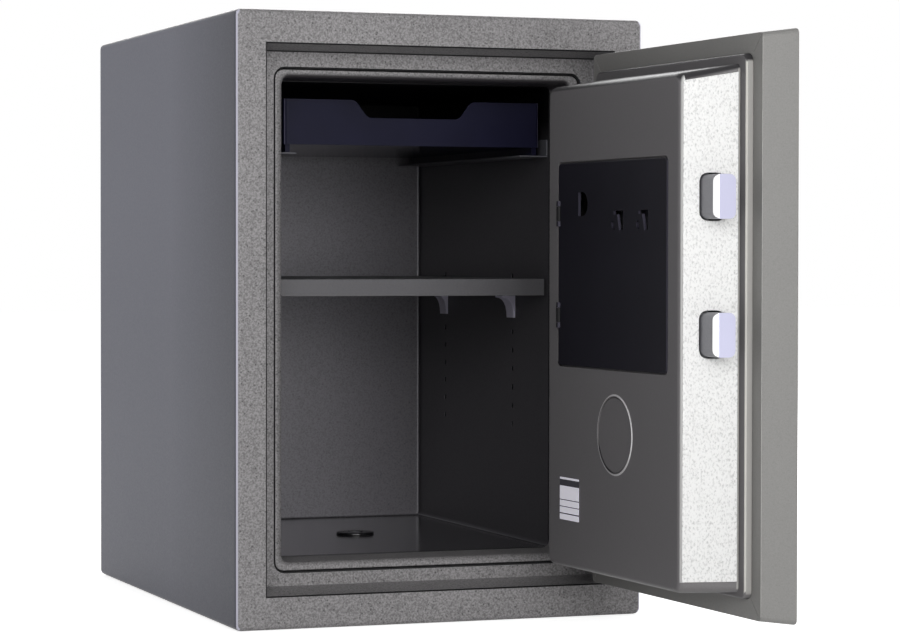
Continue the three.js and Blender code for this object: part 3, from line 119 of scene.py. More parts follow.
# Grain of the finishes and the depth of its relief
PAINT_GRAIN = 1.5 * MM
PAINT_RELIEF = 0.16 * MM
SLAB_GRAIN = 1.1 * MM
SLAB_RELIEF = 0.06 * MM
PAN_RELIEF = 0.02 * MM
LINER_RELIEF = 0.08 * MM
PLASTIC_GRAIN = 0.5 * MM
PLASTIC_RELIEF = 0.012 * MM
RUBBER_RELIEF = 0.03 * MM
BRUSHED_LINE = 1.6 * MM
BRUSHED_CLOUD = 9 * MM
BRUSHED_RELIEF = 0.006 * MM
GROUND_LINE = 1.2 * MM
GROUND_RELIEF = 0.004 * MM
ZINC_CRYSTAL = 7 * MM
ZINC_GRAIN = 0.8 * MM
ZINC_RELIEF = 0.01 * MM
FOIL_CRUMPLE = 1.5 * MM
FOIL_RELIEF = 0.22 * MM
FILL_GRAIN = 1.2 * MM
FILL_VOID = 5 * MM
FILL_RELIEF = 0.4 * MM
PAPER_FIBRE = 0.4 * MM
PAPER_RELIEF = 0.01 * MM

# Distance between a paint's pits and width of its clouds, in grains
PIT_GRAINS = 3
CLOUD_GRAINS = 50
PLASTIC_CLOUD_GRAINS = 80

# Where a pit's floor ends and where its rim ends, as shares of the distance between pits
PAINT_PIT_SHARES = (0.04, 0.24)
LINER_PIT_SHARES = (0.03, 0.22)
VOID_SHARES = (0.05, 0.3)

# Between which values a noise mostly lies, and mixed noises do
NOISE_SPREAD = (0.3, 0.7)
PAINT_SPREAD = (0.36, 0.64)
LINER_SPREAD = (0.34, 0.66)

# Header band and ruled lines of the tag, as shares of its height
TAG_LINE_SHARES = ((0.13, 0.16), (0.3, 0.32), (0.46, 0.48), (0.8, 0.95))

# Floor: its own light grows with the distance from the object, so that it keeps the shadow and is as
# white as the backdrop far away
FLOOR_REACH = 12
FLOOR_DROP = 0.5 * MM
FLOOR_COLOUR = (0.86, 0.86, 0.86, 1)
GLOW_NEAR = 1.2
GLOW_FAR = 3.5
LEVEL_NEAR = 0.8
LEVEL_FAR = 1

# Lamps: each one's azimuth from the front towards the right and its elevation, in degrees, then its
# distance, its size and its power. They aim at the middle of the cabinet.
LAMPS = {
    "front": (0, 5, 3, 1.2, 21),
    "front_high": (0, 30, 3, 1.2, 7),
    "front_left": (-25, 18, 3, 1.2, 23),
    "right": (55, 20, 3, 1.2, 6),
    "left": (-112, 15, 2.2, 1.2, 3),
    "top": (0, 89, 3, 1.6, 4),
    "back": (165, 35, 3, 1.6, 45),
    "back_right": (110, 15, 3, 1.6, 30),
}

# Level of the even light all round
WORLD_LEVEL = 0.03


# Colours

def srgb(red, green, blue):
    """A colour from 0 to 255 on screen, as linear light."""
    def linear(value):
        share = value / 255
        return share / 12.92 if share <= 0.04045 else ((share + 0.055) / 1.055) ** 2.4
    return (linear(red), linear(green), linear(blue), 1)


def shade(colour, share):
    return tuple(min(channel * share, 1) for channel in colour[:3]) + (1,)


WHITE = (1, 1, 1, 1)
# Painted shade on the cabinet's sides: dark towards the front and foot, paler towards the back
SIDE_SHADE_DARK = srgb(86, 87, 97)
SIDE_SHADE_PALE = srgb(128, 129, 142)
# Painted highlight on the cabinet's upright front corners
CORNER_HIGHLIGHT = srgb(216, 214, 230)
# Painted shade in the rebate's mouth and in the back corner of its roof
REBATE_SHADE = srgb(20, 20, 22)
# Painted shade under the throat's roof
THROAT_SHADE = srgb(50, 47, 50)
# Painted shade in the groove beside the throat's bead
GROOVE_SHADE = srgb(24, 23, 25)
# Painted highlight on the door slab's upright edge
SLAB_EDGE_HIGHLIGHT = srgb(240, 238, 234)
# Painted highlight on the rim of the door's step
STEP_EDGE_HIGHLIGHT = srgb(214, 212, 206)
# Painted shade on the door's broad inner face
DOOR_FACE_SHADE = srgb(114, 112, 114)
# Painted shade on the upward rounded edges inside the door
DOOR_TOP_SHADE = srgb(56, 55, 57)
# Painted highlight on the rim of the door's round boss
RING_HIGHLIGHT = srgb(208, 206, 208)
PLATE_SIDE_PALE = srgb(240, 240, 239)
# Painted highlight on the inner cover's front-facing rims
COVER_RIM_HIGHLIGHT = srgb(62, 60, 72)
# Painted highlight on the tray's front edges
TRAY_RIM_HIGHLIGHT = srgb(120, 118, 140)
# Painted shade in the cavity
CAVITY_SHADE = srgb(14, 13, 16)
# Painted shade in the fill round the cavity
LINING_SHADE = srgb(14, 14, 16)
TAG_PAPER = srgb(240, 238, 248)
TAG_INK = srgb(40, 40, 46)


# Trees of nodes

class NodeTree:
    """A tree whose nodes are fed with numbers, colours or the outputs of other nodes."""

    def __init__(self, tree):
        self.tree = tree

    def add(self, kind, inputs=None, **settings):
        node = self.tree.nodes.new(kind)
        for key, value in settings.items():
            setattr(node, key, value)
        for key, value in (inputs or {}).items():
            self.feed(node.inputs[key], value)
        return node

    def feed(self, socket, value):
        if isinstance(value, bpy.types.NodeSocket):
            self.tree.links.new(value, socket)
        else:
            socket.default_value = value

    def math(self, operation, *values):
        return self.add("ShaderNodeMath", dict(enumerate(values)), operation=operation).outputs[0]

    def fold(self, operation, values):
        """An operation on the first two values, then on what it gives and the next one, and so on."""
        return reduce(lambda whole, value: self.math(operation, whole, value), values)

    def product(self, *factors):
        return self.fold("MULTIPLY", factors)

    def largest(self, *levels):
        return self.fold("MAXIMUM", levels)

    def total(self, *parts):
        """A sum of (factor, weight) pairs."""
        return self.fold("ADD", [self.product(factor, weight) for factor, weight in parts])

    def range(self, factor, low, high, start=0, end=1):
        """A level that goes from low to high as a factor goes from start to end."""
        inputs = {"Value": factor, "From Min": start, "From Max": end, "To Min": low, "To Max": high}
        return self.add("ShaderNodeMapRange", inputs).outputs["Result"]

    def seen_level(self, hidden, shown):
        """One level for the light on the object, and another where a view, a mirror or glass shows it."""
        path = self.add("ShaderNodeLightPath").outputs
        seen = self.largest(path["Is Camera Ray"], path["Is Glossy Ray"], path["Is Transmission Ray"])
        return self.range(seen, hidden, shown)


class Finish(NodeTree):
    """A material with a principled shader at its end, whose patterns lie in the piece's own axes."""

    def __init__(self, name):
        self.material = bpy.data.materials.new(name)
        self.material.use_nodes = True
        super().__init__(self.material.node_tree)
        self.shader = self.tree.nodes["Principled BSDF"]
        around = self.add("ShaderNodeTexCoord").outputs
        self.place = around["Object"]
        self.normal = around["Normal"]

    def set(self, **inputs):
        """Feeds the shader's inputs and gives the material."""
        for key, value in inputs.items():
            self.feed(self.shader.inputs[key.replace("_", " ")], value)
        return self.material

    def noise(self, size, detail=3, roughness=0.5, squeeze=None):
        """Noise with blotches about size metres across, and shorter along each axis by its squeeze."""
        place = self.place
        if squeeze is not None:
            place = self.add("ShaderNodeMapping", {"Vector": place, "Scale": squeeze}).outputs["Vector"]
        inputs = {"Vector": place, "Scale": 1 / size, "Detail": detail, "Roughness": roughness}
        return self.add("ShaderNodeTexNoise", inputs).outputs["Fac"]

    def cells(self, size):
        """The distance from the middle of each of many cells that are about size metres apart."""
        inputs = {"Vector": self.place, "Scale": 1 / size}
        return self.add("ShaderNodeTexVoronoi", inputs).outputs["Distance"]

    def unpitted(self, size, shares):
        """0 in small pits about size metres apart, and 1 between them."""
        floor, rim = shares
        return self.range(self.cells(size), 0, 1, start=floor, end=rim)

    def level(self, noise, low, high):
        """A level that goes from low to high with a noise."""
        start, end = NOISE_SPREAD
        return self.range(noise, low, high, start=start, end=end)

    def mix(self, factor, first, second):
        """A colour that goes from the first to the second as a factor goes from 0 to 1."""
        return self.add("ShaderNodeMix", {0: factor, 6: first, 7: second}, data_type="RGBA").outputs[2]

    def ramp(self, factor, *stops, interpolation="LINEAR"):
        """Colours at places from 0 to 1 along a factor."""
        node = self.add("ShaderNodeValToRGB", {"Fac": factor})
        node.color_ramp.interpolation = interpolation
        elements = node.color_ramp.elements
        while len(elements) < len(stops):
            elements.new(1)
        for element, (at, colour) in zip(elements, stops):
            element.position = at
            element.color = colour
        return node.outputs["Color"]

    def tones(self, noise, colour, dark, pale, spread=NOISE_SPREAD):
        """A colour that goes from a dark share of itself to a pale one with a noise."""
        start, end = spread
        return self.ramp(noise, (start, shade(colour, dark)), (end, shade(colour, pale)))

    def layered(self, colour, layers):
        """A colour with layers over it, each a function that gives its mask and its colour."""
        for layer in layers:
            mask, over = layer(self)
            colour = self.mix(mask, colour, over)
        return colour

    def bump(self, height, depth):
        """Relief of that depth in metres where the height goes from 0 to 1."""
        return self.add("ShaderNodeBump", {"Height": height, "Distance": depth}).outputs["Normal"]

    def axis(self, vector, name):
        return self.add("ShaderNodeSeparateXYZ", {"Vector": vector}).outputs[name]

    def facing(self, way, turn=SQUARELY, both=False):
        """0 to 1 as a face turns towards a way such as Z or -Y, or towards both ends of its axis."""
        start, end = turn
        turned = self.axis(self.normal, way[-1])
        if both:
            turned = self.math("ABSOLUTE", turned)
        sign = -1 if way[0] == "-" else 1
        return self.range(turned, 0, 1, start=sign * start, end=sign * end)

    def outward(self, name, middle=0):
        """How much a face turns away from a middle along an axis."""
        side = self.math("SIGN", self.math("SUBTRACT", self.axis(self.place, name), middle))
        return self.product(self.axis(self.normal, name), side)

    def along(self, name, start, end, low=0, high=1):
        """A level that goes from low to high between two places along an axis."""
        return self.range(self.axis(self.place, name), low, high, start=start, end=end)

    def past(self, name, place):
        """1 past a place along an axis, and 0 before it."""
        return self.math("GREATER_THAN", self.axis(self.place, name), place)

    def within(self, name, low, high):
        """1 between two places along an axis, and 0 beyond them."""
        return self.math("SUBTRACT", self.past(name, low), self.past(name, high))

    def beyond(self, name, low, high):
        """0 between two places along an axis, and 1 beyond them."""
        return self.math("SUBTRACT", 1, self.within(name, low, high))

    def eased(self, span):
        """1 on the eased edges of a piece whose faces lie square, and 0 on those faces.

        The span is how far the normal turns to its nearest axis where the edge ends and the face starts.
        """
        edge, face = span
        turned = self.largest(*(self.math("ABSOLUTE", self.axis(self.normal, name)) for name in "XYZ"))
        return self.range(turned, 1, 0, start=edge, end=face)

    def upright_edges(self):
        """1 on the upright eased edges between the front and the left."""
        corner = self.product(self.facing("-Y", LEANING), self.facing("-X", LEANING))
        tilted = self.facing("Z", UPRIGHT_TILT, both=True)
        return self.product(corner, self.math("SUBTRACT", 1, tilted), self.eased(UPRIGHT_SPAN))


# Layers that lie over a finish

def shell_side_shade(finish):
    """Painted shade and painted reflection on the cabinet's left and right sides, which darken towards
    the front and the foot.
    """
    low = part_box("outer_shell")[0]
    rearwards = finish.along("Y", low.y, low.y + SIDE_FADE_BACK)
    foot_shade = finish.along("Z", low.z, low.z + SIDE_FADE_UP, low=FOOT_SHADE_SHARE, high=0)
    paint = finish.mix(rearwards, SIDE_SHADE_DARK, SIDE_SHADE_PALE)
    return finish.facing("X", both=True), finish.mix(foot_shade, paint, SIDE_SHADE_DARK)


def shell_corner_highlights(finish):
    """A painted highlight along the cabinet's upright front corners."""
    low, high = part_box("outer_shell")
    turned = finish.product(finish.facing("-Y", LEANING), finish.facing("X", LEANING, both=True))
    outer = finish.beyond("X", low.x + CORNER_BAND, high.x - CORNER_BAND)
    return finish.product(turned, outer, finish.eased(CORNER_SPAN)), CORNER_HIGHLIGHT


def rebate_painted_shade(finish):
    """Painted shade lines round the mouth of the cabinet's rebate and along the back of its roof."""
    low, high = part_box("outer_shell")
    across = finish.within("X", low.x + BORDER_SIDE, high.x - BORDER_SIDE)
    up = finish.within("Z", low.z + BORDER_END, high.z - BORDER_END)
    shallow = finish.within("Y", low.y - MOUTH_LINE, low.y + MOUTH_LINE)
    mouth = finish.product(across, up, shallow)
    deep = finish.within("Y", low.y + REBATE_BACK, low.y + REBATE_BACK_END)
    return finish.largest(mouth, finish.product(finish.facing("-Z"), deep)), REBATE_SHADE


def throat_roof_shade(finish):
    """Painted shade on the underside of the throat's roof, dark as the cavity."""
    low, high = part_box("throat_frame")
    upper = finish.past("Z", (low.z + high.z) / 2)
    return finish.product(finish.facing("-Z", THROAT_ROOF_TURN), upper), THROAT_SHADE


def throat_groove_shade(finish):
    """Painted shade on the outer flanks of the bead round the opening, in its groove."""
    low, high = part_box("throat_frame")
    outward = finish.largest(finish.outward("X"), finish.outward("Z", (low.z + high.z) / 2))
    start, end = HALFWAY
    return finish.range(outward, 0, 1, start=start, end=end), GROOVE_SHADE


def slab_edge_highlight(finish):
    """A painted highlight along the upright edge of the door's slab."""
    return finish.upright_edges(), SLAB_EDGE_HIGHLIGHT


def step_edge_highlights(finish):
    """Painted highlights on the rim of the door's step: on its flank, and stronger on its upright edge.
    """
    step = finish.past("X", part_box("bolt_face_plate")[1].x)
    flank = finish.product(finish.facing("-Y", WHOLLY), FLANK_HIGHLIGHT_SHARE)
    return finish.product(step, finish.largest(flank, finish.upright_edges())), STEP_EDGE_HIGHLIGHT


def door_face_shade(finish):
    """Painted shade on the broad inner face of the door, which makes it darker than its flanks."""
    return finish.facing("X", both=True), DOOR_FACE_SHADE


def door_top_shade(finish):
    """Painted shade on the rounded edges that face up inside the door, so that they shine only in a line.
    """
    return finish.facing("Z", DOOR_TOP_TURN), DOOR_TOP_SHADE


def door_ring_highlight(finish):
    """A painted highlight on the rim of the round boss pressed in the door."""
    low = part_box("door_inner_pan")[0]
    squares = []
    for name, middle in (("Y", low.y + RING_FROM_EDGE), ("Z", low.z + RING_FROM_FOOT)):
        offset = finish.math("SUBTRACT", finish.axis(finish.place, name), middle)
        squares.append(finish.product(offset, offset))
    distance = finish.math("SQRT", finish.math("ADD", *squares))
    off = finish.math("ABSOLUTE", finish.math("SUBTRACT", distance, RING_RADIUS))
    rim = finish.range(off, 1, 0, start=RING_LINE, end=RING_LINE_END)
    return finish.product(rim, finish.within("X", low.x, low.x + RING_DEPTH)), RING_HIGHLIGHT


def plate_margin(finish):
    """The corner of the door's plug beside the face plate, as pale as the plate."""
    low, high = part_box("bolt_face_plate")
    across = finish.within("X", low.x - PLATE_BESIDE, low.x + PLATE_OVERLAP)
    return finish.product(across, finish.within("Z", low.z, high.z), finish.facing("-Y")), PLATE_SIDE_PALE


def cover_rim_highlights(finish):
    """Painted highlights on the rims that face the front on the inner cover and its slots."""
    return finish.facing("-Y", MOSTLY), COVER_RIM_HIGHLIGHT


def tray_rim_highlights(finish):
    """Painted highlights along the tray's eased edges at the front."""
    corners = finish.product(finish.facing("X", LEANING, both=True), finish.eased(TRAY_CORNER_SPAN))
    tops = finish.product(finish.facing("Z", BARELY), finish.eased(TRAY_TOP_SPAN))
    return finish.product(finish.largest(corners, tops), finish.facing("-Y", BARELY)), TRAY_RIM_HIGHLIGHT


# Finishes

def textured_paint(name, colour, layers=(), grain=PAINT_GRAIN, relief=PAINT_RELIEF, metallic=0.12,
                   contrast=0.34, specular=0.35, side_share=1):
    """Baked paint with a fine leathery skin: close grains, sparse dark pits and a faint cloud.

    Faces towards the left and right may keep only a share of the relief and of the metal.
    """
    finish = Finish(name)
    grains = finish.noise(grain, detail=2, roughness=0.6)
    unpitted = finish.unpitted(PIT_GRAINS * grain, PAINT_PIT_SHARES)
    cloud = finish.noise(CLOUD_GRAINS * grain, detail=2)
    height = finish.total((grains, 0.8), (unpitted, 0.2))
    if side_share < 1:
        sideways = finish.facing("X", both=True)
        height = finish.product(height, finish.range(sideways, 1, side_share))
        metallic = finish.range(sideways, metallic, metallic * side_share)
    mottle = finish.total((grains, 0.88), (cloud, 0.12))
    paint = finish.tones(mottle, colour, 1 - contrast, 1 + contrast, spread=PAINT_SPREAD)
    speckled = finish.mix(unpitted, shade(colour, 1 - 2 * contrast), paint)
    return finish.set(
        Normal=finish.bump(height, relief),
        Metallic=metallic,
        Base_Color=finish.layered(speckled, layers),
        Specular_IOR_Level=specular,
        Roughness=finish.level(grains, 0.39, 0.53),
    )


def liner_paint(name, colour, wall_shade_share, floor_gloss):
    """Glossy speckled paint in the cavity: its floor shines, and its side walls carry painted shade.

    Painted shade makes it darkest beside and above the tray, which keeps the light off it, in the shelf
    holes and on the front lip. The back wall carries a painted shadow of the door towards the right.
    """
    low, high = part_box("inner_liner")
    tray_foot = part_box("tray")[0].z
    wall = high.x - LINER_FLANGE + HOLE_RIM
    finish = Finish(name)
    grains = finish.noise(PAINT_GRAIN, roughness=0.6)
    unpitted = finish.unpitted(PIT_GRAINS * PAINT_GRAIN, LINER_PIT_SHARES)
    mottle = finish.total((grains, 0.8), (unpitted, 0.2))
    upwards = finish.facing("Z")
    sideways = finish.facing("X", both=True)
    # The paint as lit on the floor and back wall, and darker as painted shade on the side walls
    lit = finish.tones(mottle, colour, 0.7, 1.25, spread=LINER_SPREAD)
    dim = finish.tones(mottle, colour, 0.9 * wall_shade_share, 1.1 * wall_shade_share, spread=LINER_SPREAD)
    # Painted shadow of the door on the back wall, growing towards the right
    clear_of_door_shadow = finish.along("X", DOOR_SHADOW_START, DOOR_SHADOW_END, low=1, high=DOOR_SHADOW_SHARE)
    back = finish.mix(clear_of_door_shadow, CAVITY_SHADE, lit)
    paint = finish.mix(finish.largest(sideways, upwards), back, dim)
    # Painted shade beside and above the tray, in the shelf holes and on the front lip
    beside_tray = finish.along("Z", tray_foot, tray_foot + TRAY_SHADE)
    holes = finish.beyond("X", -wall, wall)
    front = finish.within("Y", low.y - LIP_DEPTH, low.y + LIP_DEPTH)
    lip = finish.product(finish.facing("-Y", MOSTLY), front)
    return finish.set(
        Normal=finish.bump(finish.product(mottle, finish.range(upwards, 1, 0.35)), LINER_RELIEF),
        Base_Color=finish.mix(finish.largest(beside_tray, holes, lip), paint, CAVITY_SHADE),
        Metallic=finish.range(upwards, 0.45, 0.2),
        Roughness=finish.range(upwards, finish.level(grains, 0.38, 0.5), floor_gloss),
        Coat_Weight=finish.range(upwards, 0, 0.8),
        Coat_Roughness=floor_gloss,
    )


def smooth_plastic(name, colour, layers=(), gloss=0.4, relief=PLASTIC_RELIEF, specular=0.5,
                   under_gloss=None):
    """A smooth coat or moulded plastic with a faint grain, which may shine otherwise underneath."""
    finish = Finish(name)
    grains = finish.noise(PLASTIC_GRAIN)
    cloud = finish.noise(PLASTIC_CLOUD_GRAINS * PLASTIC_GRAIN, detail=2)
    roughness = finish.level(grains, gloss - 0.05, gloss + 0.08)
    if under_gloss is not None:
        roughness = finish.range(finish.facing("-Z"), roughness, under_gloss)
    return finish.set(
        Normal=finish.bump(grains, relief),
        Base_Color=finish.layered(finish.tones(cloud, colour, 0.88, 1.12), layers),
        Roughness=roughness,
        Specular_IOR_Level=specular,
    )


def brushed_metal(name, colour):
    """Drawn or turned metal with fine level lines."""
    finish = Finish(name)
    lines = finish.noise(BRUSHED_LINE, detail=4, roughness=0.6, squeeze=(1, 1, 40))
    blend = finish.total((lines, 0.6), (finish.noise(BRUSHED_CLOUD), 0.4))
    return finish.set(
        Normal=finish.bump(lines, BRUSHED_RELIEF),
        Base_Color=finish.tones(blend, colour, 0.86, 1.08),
        Roughness=finish.level(blend, 0.22, 0.38),
        Metallic=1,
    )


def bolt_metal(name, lit_end_colour, chamfer_highlight, shaded_flank_colour):
    """Ground steel, smoother and more metallic on the end than on the duller flanks, with painted light:
    a bright end, a painted highlight on its chamfer and painted shade on the flanks.
    """
    finish = Finish(name)
    lines = finish.noise(GROUND_LINE, detail=4, squeeze=(30, 1, 1))
    # Painted light on the end, a painted highlight on the chamfer and painted shade on the flanks
    polished_and_lit = finish.facing("-Y", BOLT_END_TURN)
    end = finish.tones(lines, lit_end_colour, 0.94, 1.04)
    flank = finish.tones(lines, shaded_flank_colour, 0.9, 1.1)
    lit_end_and_chamfer = finish.mix(finish.facing("-Y", WHOLLY), chamfer_highlight, end)
    return finish.set(
        Base_Color=finish.mix(polished_and_lit, flank, lit_end_and_chamfer),
        Roughness=finish.range(polished_and_lit, 0.42, 0.3),
        Metallic=finish.range(polished_and_lit, 0.3, 0.9),
        Normal=finish.bump(lines, GROUND_RELIEF),
    )


def zinc_plate(name, colour):
    """Zinc-coated sheet with large crystals."""
    finish = Finish(name)
    grains = finish.noise(ZINC_GRAIN)
    tone = finish.total((finish.cells(ZINC_CRYSTAL), 0.5), (grains, 0.5))
    return finish.set(
        Normal=finish.bump(grains, ZINC_RELIEF),
        Base_Color=finish.tones(tone, colour, 0.84, 1.1, spread=(0.2, 0.75)),
        Roughness=finish.range(tone, 0.32, 0.52, start=0.2, end=0.8),
        Metallic=0.85,
    )


def hammered_foil(name, colour):
    """Pale hammered foil plate: fine crumples that leave sparse grey flecks."""
    finish = Finish(name)
    crumples = finish.noise(FOIL_CRUMPLE, roughness=0.6, squeeze=(1, 1, 0.7))
    return finish.set(
        Normal=finish.bump(crumples, FOIL_RELIEF),
        Base_Color=finish.tones(crumples, colour, 0.62, 1, spread=(0.3, 0.52)),
        Roughness=finish.level(crumples, 0.42, 0.6),
        Metallic=0.1,
        Specular_IOR_Level=0.4,
    )


def mineral_fill(name, colour):
    """Cast insulation: matt, chalky and full of small voids, and painted black round the cavity as shade
    seen through the liner's holes.
    """
    finish = Finish(name)
    grains = finish.noise(FILL_GRAIN, detail=6, roughness=0.7)
    unpitted = finish.unpitted(FILL_VOID, VOID_SHARES)
    fill = finish.mix(unpitted, shade(colour, 0.6), finish.tones(grains, colour, 0.85, 1))
    outside = finish.largest(*(
        finish.beyond(name, low - LINING_DEPTH, high + LINING_DEPTH)
        for name, low, high in zip("XYZ", *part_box("inner_liner"))
    ))
    return finish.set(
        Normal=finish.bump(finish.total((grains, 0.6), (unpitted, 0.4)), FILL_RELIEF),
        Base_Color=finish.mix(outside, LINING_SHADE, fill),
        Roughness=finish.range(grains, 0.85, 0.98),
    )


def ruled_tag(name, paper, ink):
    """A plain pale tag with a dark header band and ruled lines, which glows faintly in its own colours as
    painted light.
    """
    low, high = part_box("blank_tag")
    stops = [(0, paper)]
    for start, end in TAG_LINE_SHARES:
        stops += [(start, ink), (end, paper)]
    finish = Finish(name)
    bands = finish.ramp(finish.along("Z", low.z, high.z), *stops, interpolation="CONSTANT")
    fibre = finish.noise(PAPER_FIBRE)
    return finish.set(
        Base_Color=bands,
        # Painted light: the tag glows faintly with its own bands
        Emission_Color=bands,
        Emission_Strength=0.22,
        Roughness=finish.range(fibre, 0.55, 0.75),
        Normal=finish.bump(fibre, PAPER_RELIEF),
    )


# Each finish by its name: the function that makes it, and what the function is told
FINISHES = {
    "shell_paint": (textured_paint, {
        "colour": srgb(140, 138, 139), "layers": (shell_side_shade, shell_corner_highlights, rebate_painted_shade),
        "specular": 0.12, "side_share": 0.15,
    }),
    "hammered_grey": (textured_paint, {
        "colour": srgb(134, 132, 133), "layers": (throat_roof_shade, throat_groove_shade),
    }),
    "door_paint": (textured_paint, {
        "colour": srgb(137, 136, 134), "layers": (slab_edge_highlight,), "grain": SLAB_GRAIN,
        "relief": SLAB_RELIEF, "contrast": 0.06,
    }),
    "door_grey": (textured_paint, {
        "colour": srgb(128, 126, 127),
        "layers": (door_face_shade, step_edge_highlights, door_top_shade, door_ring_highlight, plate_margin),
        "relief": PAN_RELIEF, "contrast": 0.03, "specular": 0.12, "metallic": 0.02,
    }),
    "shelf_paint": (textured_paint, {"colour": srgb(94, 93, 96), "contrast": 0.05}),
    "runner_paint": (textured_paint, {"colour": srgb(92, 92, 98), "contrast": 0.05}),
    "liner_grey": (liner_paint, {
        "colour": srgb(120, 118, 123), "wall_shade_share": 0.33, "floor_gloss": 0.2,
    }),
    "cover_black": (smooth_plastic, {
        "colour": srgb(20, 19, 26), "layers": (cover_rim_highlights,), "gloss": 0.5, "specular": 0.15,
    }),
    "cover_hinge": (smooth_plastic, {"colour": srgb(12, 12, 14), "specular": 0.15}),
    "anchor_black": (smooth_plastic, {"colour": srgb(20, 20, 22), "gloss": 0.25}),
    "gasket": (smooth_plastic, {"colour": srgb(24, 24, 26), "gloss": 0.8, "relief": RUBBER_RELIEF}),
    "tray_plastic": (smooth_plastic, {
        "colour": srgb(22, 22, 42), "layers": (tray_rim_highlights,), "gloss": 0.42, "specular": 0.1,
        "under_gloss": 0.12,
    }),
    "clip_plastic": (smooth_plastic, {"colour": srgb(225, 221, 240), "gloss": 0.36}),
    "black_plastic": (smooth_plastic, {"colour": srgb(32, 32, 34), "gloss": 0.45}),
    "button_grey": (smooth_plastic, {"colour": srgb(150, 150, 154), "gloss": 0.55}),
    "battery_wrap": (smooth_plastic, {"colour": srgb(74, 66, 60), "gloss": 0.35}),
    "board": (smooth_plastic, {"colour": srgb(22, 58, 34)}),
    "pale_hammered": (hammered_foil, {"colour": srgb(242, 242, 241)}),
    "bolt_steel": (bolt_metal, {
        "lit_end_colour": srgb(196, 196, 219), "chamfer_highlight": srgb(250, 250, 250),
        "shaded_flank_colour": srgb(132, 132, 137),
    }),
    "bright_steel": (brushed_metal, {"colour": srgb(190, 190, 194)}),
    "zinc_steel": (zinc_plate, {"colour": srgb(168, 170, 174)}),
    "insulation": (mineral_fill, {"colour": srgb(196, 188, 172)}),
    "door_fill": (mineral_fill, {"colour": srgb(70, 67, 62)}),
    "tag": (ruled_tag, {"paper": TAG_PAPER, "ink": TAG_INK}),
}

# Pieces whose finish differs from the one that the construction names
OWN_FINISHES = {
    "outer_shell": "shell_paint",
    "door_insulation": "door_fill",
    "door_outer_pan": "door_paint",
    "shelf": "shelf_paint",
    "tray_runner_left": "runner_paint",
    "tray_runner_right": "runner_paint",
    "anchor_washer": "anchor_black",
    "cover_hinge_lower": "cover_hinge",
    "cover_hinge_upper": "cover_hinge",
}


# Fine edges on the construction's pieces

def geometry_steps(name, steps):
    """A group of geometry nodes that takes a piece through the steps that a function adds."""
    group = bpy.data.node_groups.new(name, "GeometryNodeTree")
    for way in ("INPUT", "OUTPUT"):
        group.interface.new_socket("Geometry", in_out=way, socket_type="NodeSocketGeometry")
    tree = NodeTree(group)
    piece = tree.add("NodeGroupInput").outputs[0]
    tree.add("NodeGroupOutput", {0: steps(tree, piece)})
    return group


def weld_steps(tree, piece):
    """Drops a piece's stored normals and welds its faces together, so that its edges can be eased."""
    for name in ("custom_normal", "sharp_edge", "sharp_face"):
        node = tree.add("GeometryNodeRemoveAttribute", {"Geometry": piece, "Name": name})
        piece = node.outputs["Geometry"]
    weld = tree.add("GeometryNodeMergeByDistance", {"Geometry": piece, "Distance": WELD_DISTANCE})
    return weld.outputs["Geometry"]


def smooth_steps(tree, piece):
    """Shades a piece smooth but for the edges that turn more than the smooth angle."""
    angle = tree.add("GeometryNodeInputMeshEdgeAngle").outputs["Unsigned Angle"]
    small = tree.add("FunctionNodeCompare", {"A": angle, "B": SMOOTH_ANGLE}, operation="LESS_EQUAL")
    faces = tree.add("GeometryNodeSetShadeSmooth", {"Geometry": piece}, domain="FACE")
    inputs = {"Geometry": faces.outputs["Geometry"], "Shade Smooth": small.outputs["Result"]}
    return tree.add("GeometryNodeSetShadeSmooth", inputs, domain="EDGE").outputs["Geometry"]


def modify(piece, name, kind, **settings):
    modifier = piece.modifiers.new(name, kind)
    for key, value in settings.items():
        setattr(modifier, key, value)


def dress_nodes():
    """Gives each of the construction's pieces its finish and its eased edges."""
    materials = {name: make(name, **settings) for name, (make, settings) in FINISHES.items()}
    weld = geometry_steps("weld_faces", weld_steps)
    smooth = geometry_steps("smooth_by_angle", smooth_steps)
    for name, piece in nodes.items():
        slot = piece.material_slots[0]
        stated = slot.material.name.split(".")[0]
        slot.material = materials[OWN_FINISHES.get(name, stated)]
        modify(piece, "weld_faces", "NODES", node_group=weld)
        modify(piece, "join_flat_faces", "DECIMATE", decimate_type="DISSOLVE", angle_limit=FLAT_ANGLE)
        modify(piece, "ease_edges", "BEVEL", width=EDGE_WIDTHS[stated], segments=EDGE_SEGMENTS,
               limit_method="ANGLE", angle_limit=SMOOTH_ANGLE)
        modify(piece, "smooth_by_angle", "NODES", node_group=smooth)
        modify(piece, "weighted_normals", "WEIGHTED_NORMAL", keep_sharp=True)


# Floor, backdrop, light and camera

def link_object(name, data):
    """A new object in the scene, with its data."""
    item = bpy.data.objects.new(name, data)
    bpy.context.scene.collection.objects.link(item)
    return item


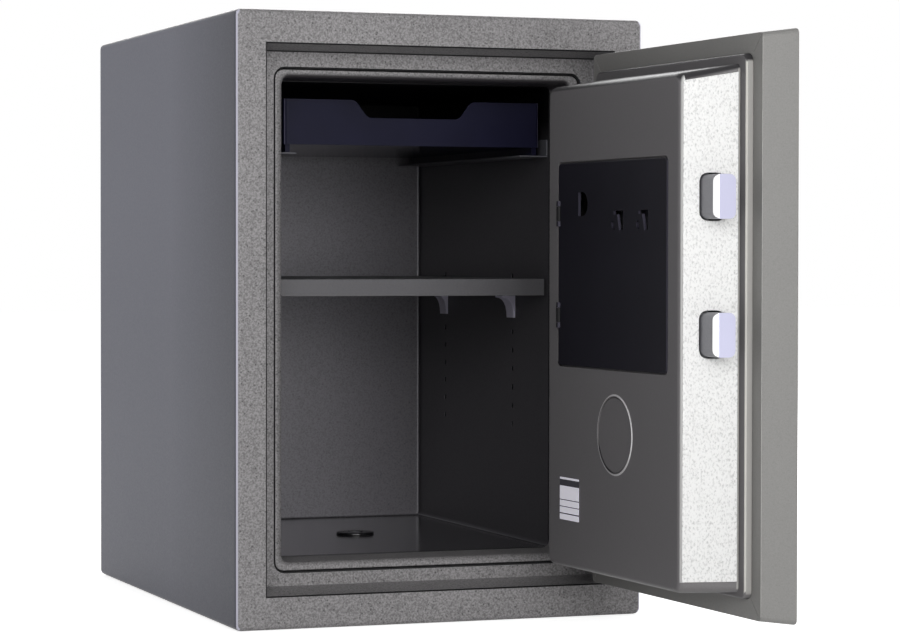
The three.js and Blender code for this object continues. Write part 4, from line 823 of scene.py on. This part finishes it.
def floor_paint():
    """Matt and pale, with light of its own that grows with the distance from the object."""
    finish = Finish("floor")
    apart = finish.add("ShaderNodeVectorMath", {0: finish.place}, operation="LENGTH").outputs["Value"]
    glow = finish.range(apart, LEVEL_NEAR, LEVEL_FAR, start=GLOW_NEAR, end=GLOW_FAR)
    return finish.set(
        Base_Color=FLOOR_COLOUR,
        Roughness=0.9,
        Specular_IOR_Level=0,
        Emission_Color=WHITE,
        Emission_Strength=finish.seen_level(0, glow),
    )


def make_floor():
    ways = [(-1, -1), (1, -1), (1, 1), (-1, 1)]
    corners = [(x * FLOOR_REACH, y * FLOOR_REACH, -FLOOR_DROP) for x, y in ways]
    mesh = bpy.data.meshes.new("floor")
    mesh.from_pydata(corners, [], [(0, 1, 2, 3)])
    mesh.materials.append(floor_paint())
    link_object("floor", mesh)


def make_world():
    """An even faint light all round, which the camera and reflections see as white."""
    world = bpy.data.worlds.new("studio")
    bpy.context.scene.world = world
    world.use_nodes = True
    tree = NodeTree(world.node_tree)
    background = world.node_tree.nodes["Background"]
    tree.feed(background.inputs["Color"], WHITE)
    tree.feed(background.inputs["Strength"], tree.seen_level(WORLD_LEVEL, 1))


def make_lamp(name, azimuth, elevation, distance, size, power):
    data = bpy.data.lights.new(name, "AREA")
    data.size = size
    data.energy = power
    turn, rise = math.radians(azimuth), math.radians(elevation)
    way = Vector((math.sin(turn) * math.cos(rise), -math.cos(turn) * math.cos(rise), math.sin(rise)))
    low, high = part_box("outer_shell")
    lamp = link_object(name, data)
    lamp.location = (low + high) / 2 + distance * way
    lamp.rotation_euler = way.to_track_quat("Z", "Y").to_euler()


def make_camera():
    data = bpy.data.cameras.new("camera")
    data.sensor_width = SENSOR_MILLIMETRES
    data.lens = FOCAL_PIXELS / PICTURE_PIXELS * SENSOR_MILLIMETRES
    yaw = Matrix.Rotation(-CAMERA_YAW, 4, "Z")
    pitch = Matrix.Rotation(math.pi / 2 - CAMERA_PITCH, 4, "X")
    roll = Matrix.Rotation(CAMERA_ROLL, 4, "Z")
    camera = link_object("camera", data)
    camera.matrix_world = Matrix.Translation(CAMERA_PLACE) @ yaw @ pitch @ roll
    bpy.context.scene.camera = camera


dress_nodes()
make_floor()
make_world()
for lamp_name, lamp_settings in LAMPS.items():
    make_lamp(lamp_name, *lamp_settings)
make_camera()
bpy.context.scene.view_settings.view_transform = "Standard"
